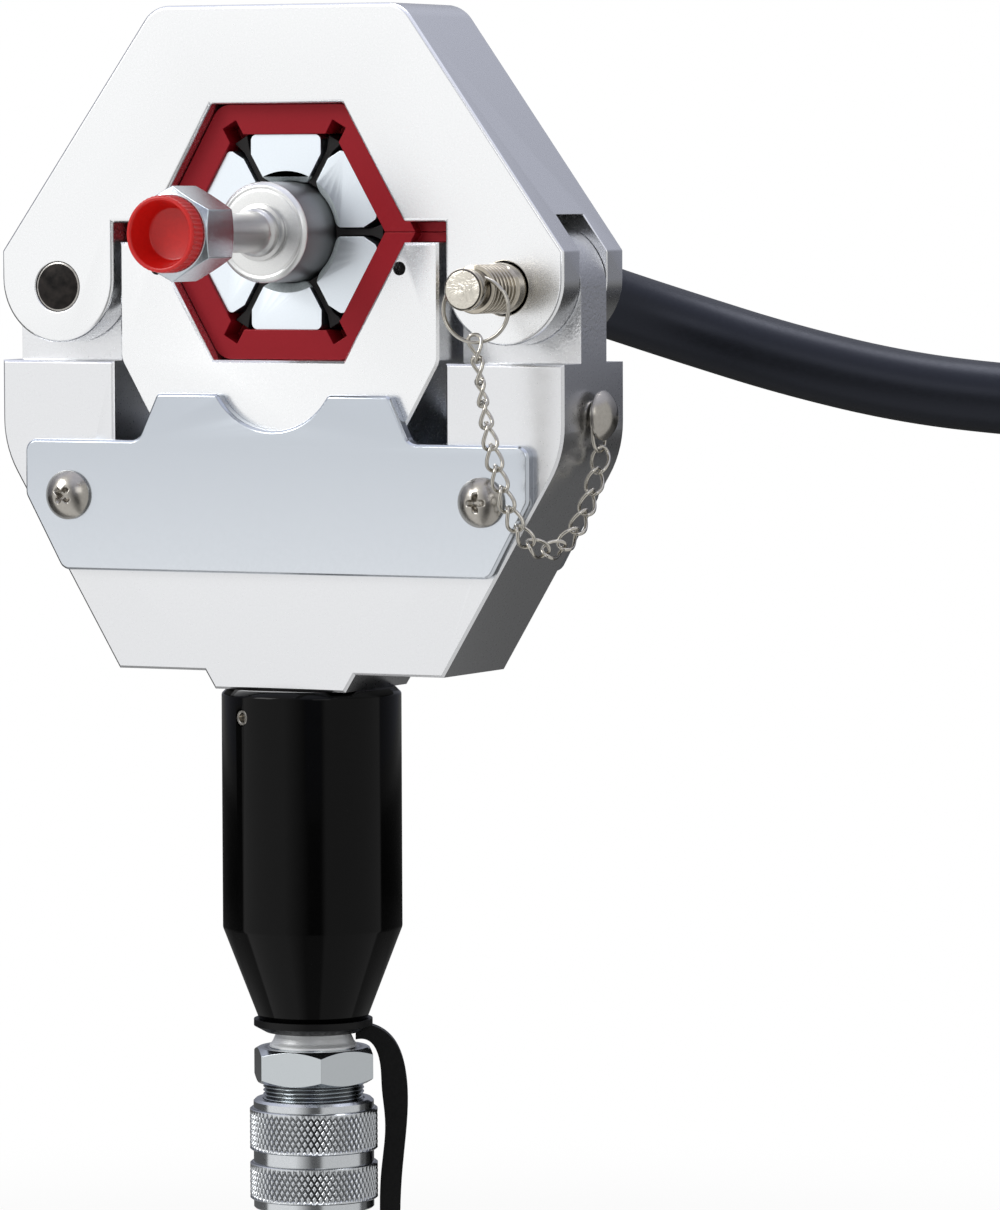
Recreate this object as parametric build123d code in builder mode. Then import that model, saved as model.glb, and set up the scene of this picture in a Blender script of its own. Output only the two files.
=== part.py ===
"""Hydraulic hose crimping head with a hinged yoke, a hexagonal die set and a screw coupler.

The frame is a thick steel block with an upright slot. A ram pushes the die block up in that slot,
and the dies close round the ferrule of a hose end that lies in them. The yoke above is hinged on
the left pin and locked by the pull pin on the right, which a short chain ties to the frame.

Axes: +X to the right as one faces the plates, +Y away from the viewer, +Z up. The origin is the
mouth of the pump port, on the axis of the barrel and in the middle of the head's thickness.
Sizes are millimetres.
"""
import os
from math import acosh, asinh, cos, pi, radians, sin, sinh, sqrt, tan

from build123d import *

os.makedirs("parts", exist_ok=True)

# Head: frame, yoke and the hinge pin
head_thickness = 33.0
pin_spacing = 120.0
pin_diameter = 12.0
lug_radius = 15.4
lug_rise = 2.0  # the lug's round end is centred this far above the pin axis
yoke_height = 67.0  # top of the yoke above the pin axis
yoke_top_width = 66.8
yoke_shoulder = 8.6  # its slanted sides start this far above the pin axis
yoke_corner = 8.0
fork_slot_width = 14.6
fork_slot_radius = 19.4  # round end of a fork's slot, about the pin
ear_thickness = 13.8
frame_shoulder = 17.7  # top of the frame below the pin axis
frame_knee = 38.8  # where its upright sides turn inwards
frame_knee_radius = 25.0
frame_bottom_width = 87.3
boss_height = 4.3
boss_top_width = 40.4
boss_bottom_width = 35.0
edge_break = 0.6
pin_fit = 0.04  # radial gap of a pin in its bore
lock_pin_play = 0.35  # radial gap of the pull pin in the yoke's cheeks

# Dies
die_centre = 13.1  # centre of the hexagon above the pin axis
die_cavity = 60.87  # across flats
carrier_size = 60.6  # across flats, outside
carrier_bore = 46.4  # across flats, inside
carrier_width = 25.0
carrier_corner = 5.0
carrier_notch_width = 4.0
carrier_notch_reach = 29.5
carrier_notch_depth = 7.0
flange_thickness = 2.3
flange_width = 18.0
flange_gap = 1.2  # from the end of a flange to the side of the slot
parting_gap = 0.1
segment_width = 23.4
segment_back = 18.8  # the widest part of a segment, near the carrier
segment_corner = 1.5
segment_round = 3.0  # corners at the bore
segment_gap = 2.2  # slot between two segments
crimp_diameter = 24.4
crimp_lead_in = 2.2
spreader_play = 0.25
spreader_width = 21.0
spreader_foot = 4.0  # its flared outer end
spreader_start_gap = 0.6  # from the crimped bore
spreader_end_gap = 1.4  # from the carrier's corner

# Die block, which the ram lifts
block_side_gap = 1.8  # to each side of the slot
block_top_gap = 4.86  # between its top and the underside of the yoke
block_straight = 28.1
block_height = 56.7
block_floor_gap = 3.97  # over the slot's floor with the ram back
block_play = 0.1  # to each retaining plate
block_slant = 30.0
block_corner = 5.0
block_screw_diameter = 3.3
block_screw_offset = 32.6
block_screw_drop = 6.1
block_screw_depth = 12.0
block_screw_sink = 4.0  # its end under the block's face
block_screw_end = 1.0  # free depth behind it

# Retaining plates, front and rear, with heights measured down from the pin axis
plate_thickness = 3.0
plate_bottom = 68.0
plate_waist = 50.0
plate_shoulder = 36.6
plate_tab_top = 25.3
plate_bottom_width = 115.0
plate_width = 135.2
plate_tab_width = 62.4
plate_tab_foot = 73.0
plate_notch_width = 29.6
plate_notch_depth = 8.6
plate_corner = 3.0
plate_tab_corner = 1.5
plate_screw_spacing = 111.0
plate_screw_drop = 50.0
screw_diameter = 6.0
screw_head_diameter = 11.8
screw_head_height = 3.9
screw_rim = 0.8
screw_length = 14.0
screw_hole_play = 0.2

# Pull pin, its ring and the chain
lock_pin_reach = 21.5  # in front of the head
lock_pin_tail = 2.0  # behind it
lock_pin_face = 9.6
lock_pin_neck = 9.8
lock_pin_head_length = 2.4
lock_pin_neck_length = 5.6
grip_ring_count = 5
grip_ring_pitch = 1.9
grip_ring_diameter = 11.5
grip_groove_diameter = 9.9
key_ring_diameter = 15.5
wire_diameter = 1.1
chain_wire = 0.9
ring_hole_diameter = 3.5
ring_hole_rise = 1.9
key_ring_drop = 4.5
link_pitch = 5.3
link_width = 4.4
link_slack = 0.3
hook_slack = 0.2  # more play where the chain hangs on its two rings
chain_depth = 61.0  # lowest point of the chain below the pin axis
chain_screw_drop = 30.0
chain_screw_diameter = 5.0
chain_screw_length = 10.0
chain_screw_shoulder = 3.6
end_ring_width = 5.6  # both inside
end_ring_length = 10.6

# Barrel, ram and seals
barrel_diameter = 43.2
barrel_length = 81.5
barrel_straight = 57.8
barrel_foot = 26.1
barrel_chamfer = 1.5
barrel_bore = 32.0
barrel_floor = 22.5  # metal under the cylinder's bore
barrel_roof = 9.0
spigot_diameter = 28.0
spigot_length = 12.0
barrel_screw_turn = 23.2  # degrees from the front, towards the left
barrel_screw_drop = 6.5
barrel_screw_diameter = 4.0
barrel_screw_length = 4.5
oil_way = 6.0
rod_diameter = 20.0
stud_diameter = 10.0
stud_length = 12.0
piston_height = 14.0
piston_seal_height = 4.0
piston_seal_depth = 2.5
ram_stroke = 12.0
running_gap = 0.05
spring_wire = 2.4
spring_turns = 4.0
spring_diameter = 26.0
bush_diameter = 25.0
bush_length = 14.0
seal_height = 3.0
seal_depth = 2.5
seal_room = 1.0  # free height above the rod seal
bush_seat = 3.9  # metal between the seal and the bush

# Coupler, from the pump port up
port_diameter = 14.4
port_depth = 15.0
socket_hex = 27.0
socket_hex_length = 14.0
socket_body_length = 9.3
socket_body_diameter = 22.0
socket_flange_height = 4.0
collar_diameter = 30.8
collar_rim_diameter = 29.0
collar_length = 26.4
collar_rim_length = 2.2
collar_groove_drop = 12.3  # from the collar's top
collar_groove_length = 3.0
collar_play = 1.7  # between its ledge and the socket's flange
thread_diameter = 24.5
thread_length = 11.0
thread_in_view = 3.9
hex_size = 27.0
hex_length = 8.5
hex_turn = 34.6
neck_length = 3.8
neck_top = 18.0
neck_bottom = 20.4
stub_diameter = 16.0
stub_length = 11.0
nose_diameter = 14.0
nose_length = 7.0
poppet_diameter = 7.0
poppet_length = 9.0

# Dust cap on its strap
strap_ring_diameter = 28.6
strap_thickness = 1.6
strap_width = 5.4
strap_depth = 4.0
strap_root = 10.2  # all from the barrel's axis, as far as strap_clear
strap_bulge = 22.6
strap_clear = 15.9
strap_turn = 26.3  # degrees behind the +X direction
cap_diameter = 28.0
cap_length = 18.0
cap_wall = 1.8
cap_top = -0.6  # just below the port
cap_offset = 24.0

# Work in the dies: a hose end with its ferrule, stem, swivel nut and shipping plug
ferrule_diameter = 23.9
ferrule_reach = 7.9  # in front of the head
ferrule_length = 32.4
ferrule_front = 2.4
hose_diameter = 17.8
hose_bore = 10.6
hose_fit = 0.1
stem_diameter = 9.4
stem_bore = 6.4
stem_length = 30.7  # from the ferrule to the nut
stem_collar = 13.6
stem_step = 11.5
stem_collar_length = 1.6
stem_flare = 13.0
flare_thickness = 2.0
nut_size = 19.3
nut_length = 13.4
nut_wall = 3.0
nut_thread = 15.4
plug_rim = 18.0
plug_rim_length = 4.9
plug_depth = 6.0
plug_dish = 6.5
plug_dish_floor = 12.4
plug_lip = 1.1

# Places that follow from the sizes
half_thickness = head_thickness / 2
pin_x = pin_spacing / 2
pin_radius = pin_diameter / 2
slot_half = pin_x - lug_radius
half_width = pin_x + lug_radius
block_width = 2 * (slot_half - block_side_gap)
collar_bottom = socket_hex_length + socket_body_length
collar_top = collar_bottom + collar_length
hex_bottom = collar_top + thread_in_view
hex_top = hex_bottom + hex_length
strap_bottom = hex_top + neck_length
barrel_bottom = strap_bottom + strap_thickness
barrel_top = barrel_bottom + barrel_length
frame_bottom = barrel_top + boss_height
spigot_top = barrel_top + spigot_length
slot_floor = spigot_top + seal_height + seal_room + bush_seat + bush_length
block_bottom = slot_floor + ram_stroke + block_floor_gap
block_top = block_bottom + block_height
die_z = block_top + block_top_gap / 2
yoke_underside = die_z + block_top_gap / 2
pin_z = die_z - die_centre
shoulder_z = pin_z - frame_shoulder
knee_z = pin_z - frame_knee
bore_bottom = barrel_bottom + barrel_floor
bore_top = barrel_top - barrel_roof
piston_bottom = bore_bottom + ram_stroke + 1
piston_top = piston_bottom + piston_height
rod_clear = rod_diameter / 2 + running_gap
lock_pin_tip = -half_thickness - lock_pin_reach


def finish_part(part, name):
    """Label a finished piece and write its file."""
    part.label = name
    export_step(part, f"parts/{name}.step")


def outline(plane, *points):
    """Closed flat outline through the given points of a plane."""
    with BuildSketch(plane) as flat:
        with BuildLine():
            Polyline(*points, close=True)
        make_face()
    return flat.sketch


def cross_view(x, z):
    """Plane seen from above through a cross axis: distance from the axis, then place along Y."""
    return Plane(origin=(x, 0, z), x_dir=(1, 0, 0), z_dir=(0, 0, 1))


def cross_axis(x, z):
    """Axis along Y at the given place."""
    return Axis((x, 0, z), (0, 1, 0))


def front_view(x=0.0, z=0.0, y=0.0):
    """Upright plane seen from the front and centred on a place of the head."""
    return Plane(origin=(x, y, z), x_dir=(1, 0, 0), z_dir=(0, -1, 0))


def radial_view(angle):
    """Plane across the dies whose first direction points out from their centre at an angle."""
    out = (cos(radians(angle)), 0, sin(radians(angle)))
    return Plane(origin=(0, 0, die_z), x_dir=out, z_dir=(0, -1, 0))


def side_of(plane):
    """Plane through another plane's normal: distance from it, then height along it."""
    return Plane(origin=plane.origin, x_dir=plane.x_dir, z_dir=plane.y_dir * -1)


def dome_screw(plane, diameter, length, head, shoulder=0.0):
    """Screw with a domed head that stands on the plane, its shank going in behind it."""
    rise = screw_head_height - screw_rim
    dome_radius = (rise**2 + head**2 / 4) / (2 * rise)
    dome_centre = shoulder + screw_head_height - dome_radius
    dome_side = (head / 4, dome_centre + sqrt(dome_radius**2 - head**2 / 16))
    with BuildPart() as screw:
        with BuildSketch(side_of(plane)) as half:
            with BuildLine():
                l1 = Polyline(
                    (0, -length),
                    (diameter / 2, -length),
                    (diameter / 2, shoulder),
                    (head / 2, shoulder),
                    (head / 2, shoulder + screw_rim),
                )
                l2 = ThreePointArc(l1 @ 1, dome_side, (0, shoulder + screw_head_height))
                Line(l2 @ 1, l1 @ 0)
            make_face()
        revolve(axis=Axis(plane.origin, plane.z_dir))
    return screw.part


# Lower frame: the thick block with its slot, and the two ears that carry the pins
with BuildPart() as lower_frame:
    with BuildSketch(Plane.XZ) as frame_face:
        with BuildLine():
            Polyline(
                (-half_width, shoulder_z),
                (-half_width, knee_z),
                (-frame_bottom_width / 2, frame_bottom),
                (-boss_top_width / 2, frame_bottom),
                (-boss_bottom_width / 2, barrel_top),
                (boss_bottom_width / 2, barrel_top),
                (boss_top_width / 2, frame_bottom),
                (frame_bottom_width / 2, frame_bottom),
                (half_width, knee_z),
                (half_width, shoulder_z),
                (slot_half, shoulder_z),
                (slot_half, slot_floor),
                (-slot_half, slot_floor),
                (-slot_half, shoulder_z),
                close=True,
            )
        make_face()
        knees = frame_face.vertices().group_by(Axis.X)
        fillet([knees[0].sort_by(Axis.Y)[0], knees[-1].sort_by(Axis.Y)[0]], frame_knee_radius)
    extrude(amount=half_thickness, both=True)
    skins = lower_frame.faces().filter_by(Axis.Y)
    chamfer([e for skin in skins for e in skin.outer_wire().edges()], edge_break)
    with BuildSketch(Plane.XZ):
        with BuildLine() as ear_line:
            Polyline(
                (pin_x - lug_radius, pin_z),
                (pin_x - lug_radius, shoulder_z - edge_break),
                (pin_x + lug_radius, shoulder_z - edge_break),
                (pin_x + lug_radius, pin_z),
            )
            ThreePointArc(
                (pin_x + lug_radius, pin_z),
                (pin_x, pin_z + lug_radius),
                (pin_x - lug_radius, pin_z),
            )
        make_face()
        mirror(about=Plane.YZ)
    extrude(amount=ear_thickness / 2, both=True)
    with BuildSketch(Plane.XZ):
        with Locations((-pin_x, pin_z), (pin_x, pin_z)):
            Circle(pin_radius + pin_fit)
    extrude(amount=ear_thickness, both=True, mode=Mode.SUBTRACT)
    for side in (-1, 1):
        for plane_y, way in ((-half_thickness, 1), (half_thickness, -1)):
            with BuildSketch(front_view(y=plane_y)):
                with Locations((side * plate_screw_spacing / 2, pin_z - plate_screw_drop)):
                    Circle(screw_diameter / 2)
            extrude(amount=-way * (screw_length - plate_thickness + 1), mode=Mode.SUBTRACT)
    revolve(
        outline(
            Plane.XZ,
            (0, slot_floor + 1),
            (bush_diameter / 2, slot_floor + 1),
            (bush_diameter / 2, slot_floor - bush_length),
            (rod_clear, slot_floor - bush_length),
            (rod_clear, spigot_top + seal_height + seal_room),
            (rod_clear + seal_depth, spigot_top + seal_height + seal_room),
            (rod_clear + seal_depth, spigot_top),
            (spigot_diameter / 2, spigot_top),
            (spigot_diameter / 2, barrel_top - 1),
            (0, barrel_top - 1),
        ),
        axis=Axis.Z,
        mode=Mode.SUBTRACT,
    )
    with BuildSketch(Plane.YZ.offset(half_width)):
        with Locations((0, pin_z - chain_screw_drop)):
            Circle(chain_screw_diameter / 2)
    extrude(amount=-chain_screw_length, mode=Mode.SUBTRACT)
finish_part(lower_frame.part, "lower_frame")

# Hinge pin on the left, through the yoke's cheeks and the ear
pin_end = half_thickness - edge_break / 2
with BuildPart() as hinge_pin:
    with BuildSketch(front_view(-pin_x, pin_z)):
        Circle(pin_radius)
    extrude(amount=pin_end, both=True)
    chamfer(hinge_pin.edges().filter_by(GeomType.CIRCLE), edge_break)
finish_part(hinge_pin.part, "hinge_pin")

# Yoke: the upper half of the head, forked over the ears
lug_z = pin_z + lug_rise
with BuildPart() as upper_yoke:
    with BuildSketch(Plane.XZ) as yoke_face:
        with BuildLine():
            Polyline(
                (0, yoke_underside),
                (slot_half, yoke_underside),
                (slot_half, lug_z),
            )
            ThreePointArc((slot_half, lug_z), (pin_x, lug_z - lug_radius), (half_width, lug_z))
            Polyline(
                (half_width, lug_z),
                (half_width, pin_z + yoke_shoulder),
                (yoke_top_width / 2, pin_z + yoke_height),
                (0, pin_z + yoke_height),
                (0, yoke_underside),
            )
        make_face()
        mirror(about=Plane.YZ)
        top_corners = yoke_face.vertices().group_by(Axis.Y)[-1]
        fillet([v for v in top_corners if abs(v.X) > 1], yoke_corner)
        with Locations((0, die_z)):
            RegularPolygon(die_cavity / 2, 6, major_radius=False, mode=Mode.SUBTRACT)
    extrude(amount=half_thickness, both=True)
    skins = upper_yoke.faces().filter_by(Axis.Y)
    chamfer([e for skin in skins for e in skin.outer_wire().edges()], edge_break)
    with BuildSketch(Plane.XZ):
        with Locations((-pin_x, pin_z), (pin_x, pin_z)):
            Circle(fork_slot_radius)
        with Locations((-pin_x, pin_z - lug_radius), (pin_x, pin_z - lug_radius)):
            Rectangle(2 * fork_slot_radius, 2 * lug_radius)
    extrude(amount=fork_slot_width / 2, both=True, mode=Mode.SUBTRACT)
    with BuildSketch(Plane.XZ):
        with Locations((-pin_x, pin_z)):
            Circle(pin_radius + pin_fit)
        with Locations((pin_x, pin_z)):
            Circle(pin_radius + lock_pin_play)
    extrude(amount=head_thickness, both=True, mode=Mode.SUBTRACT)
finish_part(upper_yoke.part, "upper_yoke")

# Retaining plates, the same in front and behind, and their screws
notch_radius = (plate_notch_width**2 / 4 + plate_notch_depth**2) / (2 * plate_notch_depth)
with BuildPart() as front_plate:
    with BuildSketch(front_view(z=pin_z, y=-half_thickness)) as plate_face:
        with BuildLine():
            Polyline(
                (0, -plate_bottom),
                (plate_bottom_width / 2, -plate_bottom),
                (plate_width / 2, -plate_waist),
                (plate_width / 2, -plate_shoulder),
                (plate_tab_foot / 2, -plate_shoulder),
                (plate_tab_width / 2, -plate_tab_top),
                (0, -plate_tab_top),
                (0, -plate_bottom),
            )
        make_face()
        mirror(about=Plane.YZ)
        with Locations((0, -plate_tab_top + notch_radius - plate_notch_depth)):
            Circle(notch_radius, mode=Mode.SUBTRACT)
        corners = [v for v in plate_face.vertices() if abs(v.X) > 1]
        fillet([v for v in corners if abs(v.Y + plate_tab_top) >= 0.1], plate_corner)
        tabs = [v for v in plate_face.vertices() if abs(v.Y + plate_tab_top) < 0.1]
        fillet(tabs, plate_tab_corner)
        with Locations((-plate_screw_spacing / 2, -plate_screw_drop),
                       (plate_screw_spacing / 2, -plate_screw_drop)):
            Circle(screw_diameter / 2 + screw_hole_play, mode=Mode.SUBTRACT)
    extrude(amount=plate_thickness)
    skin = front_plate.faces().sort_by(Axis.Y)[0]
    chamfer(skin.outer_wire().edges(), edge_break)
finish_part(front_plate.part, "front_plate")

with BuildPart() as rear_plate:
    mirror(front_plate.part, about=Plane.XZ)
finish_part(rear_plate.part, "rear_plate")

with BuildPart() as front_plate_screws:
    for side in (-1, 1):
        seat = front_view(
            side * plate_screw_spacing / 2,
            pin_z - plate_screw_drop,
            -half_thickness - plate_thickness,
        )
        add(dome_screw(seat, screw_diameter, screw_length, screw_head_diameter))
finish_part(front_plate_screws.part, "front_plate_screws")

with BuildPart() as rear_plate_screws:
    mirror(front_plate_screws.part, about=Plane.XZ)
finish_part(rear_plate_screws.part, "rear_plate_screws")

# Die block, which slides between the plates with the lower half of the dies
slant_run = (block_height - block_straight) * tan(radians(block_slant))
with BuildPart() as die_block:
    with BuildSketch(Plane.XZ) as block_face:
        with BuildLine():
            Polyline(
                (-block_width / 2, block_top),
                (-block_width / 2, block_top - block_straight),
                (-block_width / 2 + slant_run, block_bottom),
                (block_width / 2 - slant_run, block_bottom),
                (block_width / 2, block_top - block_straight),
                (block_width / 2, block_top),
                close=True,
            )
        make_face()
        fillet(block_face.vertices().group_by(Axis.Y)[1], block_corner)
        with Locations((0, die_z)):
            RegularPolygon(die_cavity / 2, 6, major_radius=False, mode=Mode.SUBTRACT)
    extrude(amount=half_thickness - block_play, both=True)
    skins = die_block.faces().filter_by(Axis.Y)
    chamfer([e for skin in skins for e in skin.outer_wire().edges()], edge_break)
    with BuildSketch(front_view(z=block_top - block_screw_drop, y=-half_thickness)):
        with Locations((-block_screw_offset, 0), (block_screw_offset, 0)):
            Circle(block_screw_diameter / 2)
    extrude(amount=-block_screw_depth, mode=Mode.SUBTRACT)
    with BuildSketch(Plane.XY.offset(block_bottom)):
        Circle(stud_diameter / 2)
    extrude(amount=stud_length + 1, mode=Mode.SUBTRACT)
finish_part(die_block.part, "die_block")

# Grub screws that hold the lower carrier, sunk in the block
with BuildPart() as die_block_screws:
    with BuildSketch(front_view(z=block_top - block_screw_drop, y=-half_thickness + block_screw_sink)):
        with Locations((-block_screw_offset, 0), (block_screw_offset, 0)):
            Circle(block_screw_diameter / 2)
    extrude(amount=-(block_screw_depth - block_screw_sink - block_screw_end))
finish_part(die_block_screws.part, "die_block_screws")

# Die carriers: two half rings that fill the hexagon, with a flange along each parting face
flange_reach = slot_half - flange_gap


def die_carrier(upper):
    """Upper or lower half of the ring that holds three segments."""
    way = 1 if upper else -1
    notch_angles = (60, 120) if upper else (240, 300)
    inner_corner = carrier_bore / 2 / cos(radians(30))
    with BuildPart() as carrier:
        with BuildSketch(front_view(z=die_z)) as ring:
            RegularPolygon(carrier_size / 2, 6, major_radius=False)
            fillet([v for v in ring.vertices() if abs(v.Y) > 1], carrier_corner)
            RegularPolygon(carrier_bore / 2, 6, major_radius=False, mode=Mode.SUBTRACT)
            with Locations((0, -way * (carrier_size - parting_gap / 2))):
                Rectangle(2 * carrier_size, 2 * carrier_size, mode=Mode.SUBTRACT)
        extrude(amount=carrier_width / 2, both=True)
        for face_y, inward in ((-carrier_width / 2, -1), (carrier_width / 2, 1)):
            with BuildSketch(front_view(z=die_z, y=face_y)):
                for angle in notch_angles:
                    notch_length = 2 * (carrier_notch_reach - inner_corner)
                    across = (cos(radians(angle)) * inner_corner, sin(radians(angle)) * inner_corner)
                    with Locations(Location(across, angle)):
                        Rectangle(notch_length, carrier_notch_width)
            extrude(amount=inward * carrier_notch_depth, mode=Mode.SUBTRACT)
        inner_edge = carrier_bore / 2 + 5
        flange_middle = (inner_edge + flange_reach) / 2
        with BuildSketch(front_view(z=die_z + way * (flange_thickness + parting_gap) / 2)):
            with Locations((-flange_middle, 0), (flange_middle, 0)):
                Rectangle(flange_reach - inner_edge, flange_thickness)
        extrude(amount=flange_width / 2, both=True)
    return carrier.part


finish_part(die_carrier(upper=True), "upper_die_carrier")
finish_part(die_carrier(upper=False), "lower_die_carrier")

# Die segments: six keystone jaws that meet round the ferrule
segment_seat = carrier_bore / 2
half_back = segment_back / 2
gap_rise = segment_gap / 2 / cos(radians(30))
side_end = (half_back + gap_rise) / tan(radians(30))
side_start = crimp_diameter / 2 - 2
segment_names = {
    30: "upper_segment_right",
    90: "upper_segment_top",
    150: "upper_segment_left",
    210: "lower_segment_left",
    270: "lower_segment_bottom",
    330: "lower_segment_right",
}
for angle, segment_name in segment_names.items():
    with BuildPart() as segment:
        with BuildSketch(radial_view(angle)) as segment_face:
            with BuildLine():
                Polyline(
                    (segment_seat, -half_back),
                    (segment_seat, half_back),
                    (side_end, half_back),
                    (side_start, side_start * tan(radians(30)) - gap_rise),
                    (side_start, -side_start * tan(radians(30)) + gap_rise),
                    (side_end, -half_back),
                    close=True,
                )
            make_face()
            fillet(segment_face.vertices().group_by(Axis.X)[-1], segment_corner)
            Circle(crimp_diameter / 2, mode=Mode.SUBTRACT)
            fillet(segment_face.vertices().group_by(Axis.X)[0], segment_round)
        extrude(amount=segment_width / 2, both=True)
        lead_radius = crimp_diameter / 2 + crimp_lead_in
        for way in (-1, 1):
            revolve(
                outline(
                    cross_view(0, die_z),
                    (0, way * (segment_width / 2 - crimp_lead_in)),
                    (crimp_diameter / 2, way * (segment_width / 2 - crimp_lead_in)),
                    (lead_radius, way * segment_width / 2),
                    (lead_radius, way * (segment_width / 2 + 1)),
                    (0, way * (segment_width / 2 + 1)),
                ),
                axis=cross_axis(0, die_z),
                mode=Mode.SUBTRACT,
            )
    finish_part(segment.part, segment_name)

# Rubber spreaders between the segments, which push them apart when the ram goes back
round_offset = segment_gap / 2 + segment_round
round_centre = sqrt((crimp_diameter / 2 + segment_round) ** 2 - round_offset**2)
spreader_start = crimp_diameter / 2 + spreader_start_gap
spreader_end = carrier_bore / 2 / cos(radians(30)) - spreader_end_gap
spreader_waist = segment_gap / 2 - spreader_play
flare_start = (side_end / cos(radians(30)) + segment_seat) / 2


def slot_side(out):
    """Half the room for a spreader beside the rounded corners, at a distance from the bore's axis."""
    return round_offset - sqrt(segment_round**2 - (round_centre - out) ** 2) - spreader_play


def spreaders(*bar_angles):
    """Rubber bars along the given directions, wider at both ends."""
    with BuildPart() as bars:
        for bar_angle in bar_angles:
            with BuildSketch(radial_view(bar_angle)):
                with BuildLine():
                    middle = (spreader_start + round_centre) / 2
                    Polyline(
                        (spreader_start, 0),
                        (spreader_start, slot_side(spreader_start)),
                        (middle, slot_side(middle)),
                        (round_centre, spreader_waist),
                        (flare_start, spreader_waist),
                        (spreader_end, spreader_foot / 2),
                        (spreader_end, 0),
                        (spreader_start, 0),
                    )
                make_face()
                mirror(about=Plane.XZ)
            extrude(amount=spreader_width / 2, both=True)
    return bars.part


finish_part(spreaders(60, 120), "upper_spreaders")
finish_part(spreaders(240, 300, 0, 180), "lower_spreaders")

# Ram: the piston with its rod, and the stud that carries the die block
piston_radius = barrel_bore / 2 - running_gap
seal_bottom = (piston_bottom + piston_top - piston_seal_height) / 2
with BuildPart() as ram_piston:
    revolve(
        outline(
            Plane.XZ,
            (0, piston_bottom),
            (piston_radius, piston_bottom),
            (piston_radius, seal_bottom),
            (piston_radius - piston_seal_depth, seal_bottom),
            (piston_radius - piston_seal_depth, seal_bottom + piston_seal_height),
            (piston_radius, seal_bottom + piston_seal_height),
            (piston_radius, piston_top),
            (rod_diameter / 2, piston_top),
            (rod_diameter / 2, block_bottom),
            (stud_diameter / 2, block_bottom),
            (stud_diameter / 2, block_bottom + stud_length),
            (0, block_bottom + stud_length),
        ),
        axis=Axis.Z,
    )
finish_part(ram_piston.part, "ram_piston")


def seal_ring(inner_radius, outer_radius, bottom, height):
    """Square seal ring round the barrel's axis."""
    with BuildPart() as seal:
        with BuildSketch(Plane.XY.offset(bottom)):
            Circle(outer_radius)
            Circle(inner_radius, mode=Mode.SUBTRACT)
        extrude(amount=height)
    return seal.part


finish_part(
    seal_ring(piston_radius - piston_seal_depth, piston_radius, seal_bottom, piston_seal_height),
    "piston_seal",
)
finish_part(
    seal_ring(rod_clear, rod_clear + seal_depth, spigot_top, seal_height),
    "rod_seal",
)
finish_part(
    seal_ring(rod_clear, bush_diameter / 2, slot_floor - bush_length, bush_length),
    "rod_bush",
)

# Return spring, squeezed between the piston and the roof of the cylinder
spring_height = bore_top - piston_top - spring_wire - 0.4
spring_bottom = piston_top + 0.2 + spring_wire / 2
with BuildPart() as return_spring:
    with BuildLine() as coil:
        Helix(spring_height / spring_turns, spring_height, spring_diameter / 2,
              center=(0, 0, spring_bottom))
    with BuildSketch(Plane(origin=coil.line @ 0, z_dir=coil.line % 0)):
        Circle(spring_wire / 2)
    sweep()
finish_part(return_spring.part, "return_spring")

# Barrel: the hydraulic cylinder, screwed into the frame by its spigot
barrel_radius = barrel_diameter / 2
screw_angle = radians(-90 - barrel_screw_turn)
screw_out = (cos(screw_angle), sin(screw_angle), 0)
screw_seat = Plane(
    origin=(barrel_radius * screw_out[0], barrel_radius * screw_out[1],
            barrel_top - barrel_screw_drop),
    x_dir=(0, 0, 1),
    z_dir=screw_out,
)
with BuildPart() as ram_barrel:
    revolve(
        outline(
            Plane.XZ,
            (rod_clear + 1, spigot_top),
            (spigot_diameter / 2, spigot_top),
            (spigot_diameter / 2, barrel_top),
            (barrel_radius - barrel_chamfer, barrel_top),
            (barrel_radius, barrel_top - barrel_chamfer),
            (barrel_radius, barrel_top - barrel_straight),
            (barrel_foot / 2, barrel_bottom + barrel_chamfer),
            (barrel_foot / 2 - barrel_chamfer, barrel_bottom),
            (stub_diameter / 2, barrel_bottom),
            (stub_diameter / 2, barrel_bottom + stub_length),
            (oil_way / 2, barrel_bottom + stub_length),
            (oil_way / 2, bore_bottom),
            (barrel_bore / 2, bore_bottom),
            (barrel_bore / 2, bore_top),
            (rod_clear + 1, bore_top),
        ),
        axis=Axis.Z,
    )
    with BuildSketch(screw_seat):
        Circle(barrel_screw_diameter / 2)
    extrude(amount=-barrel_screw_length, mode=Mode.SUBTRACT)
finish_part(ram_barrel.part, "ram_barrel")

with BuildPart() as barrel_set_screw:
    with BuildSketch(screw_seat.offset(-0.6)):
        Circle(barrel_screw_diameter / 2)
    extrude(amount=-(barrel_screw_length - 1))
finish_part(barrel_set_screw.part, "barrel_set_screw")

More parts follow.
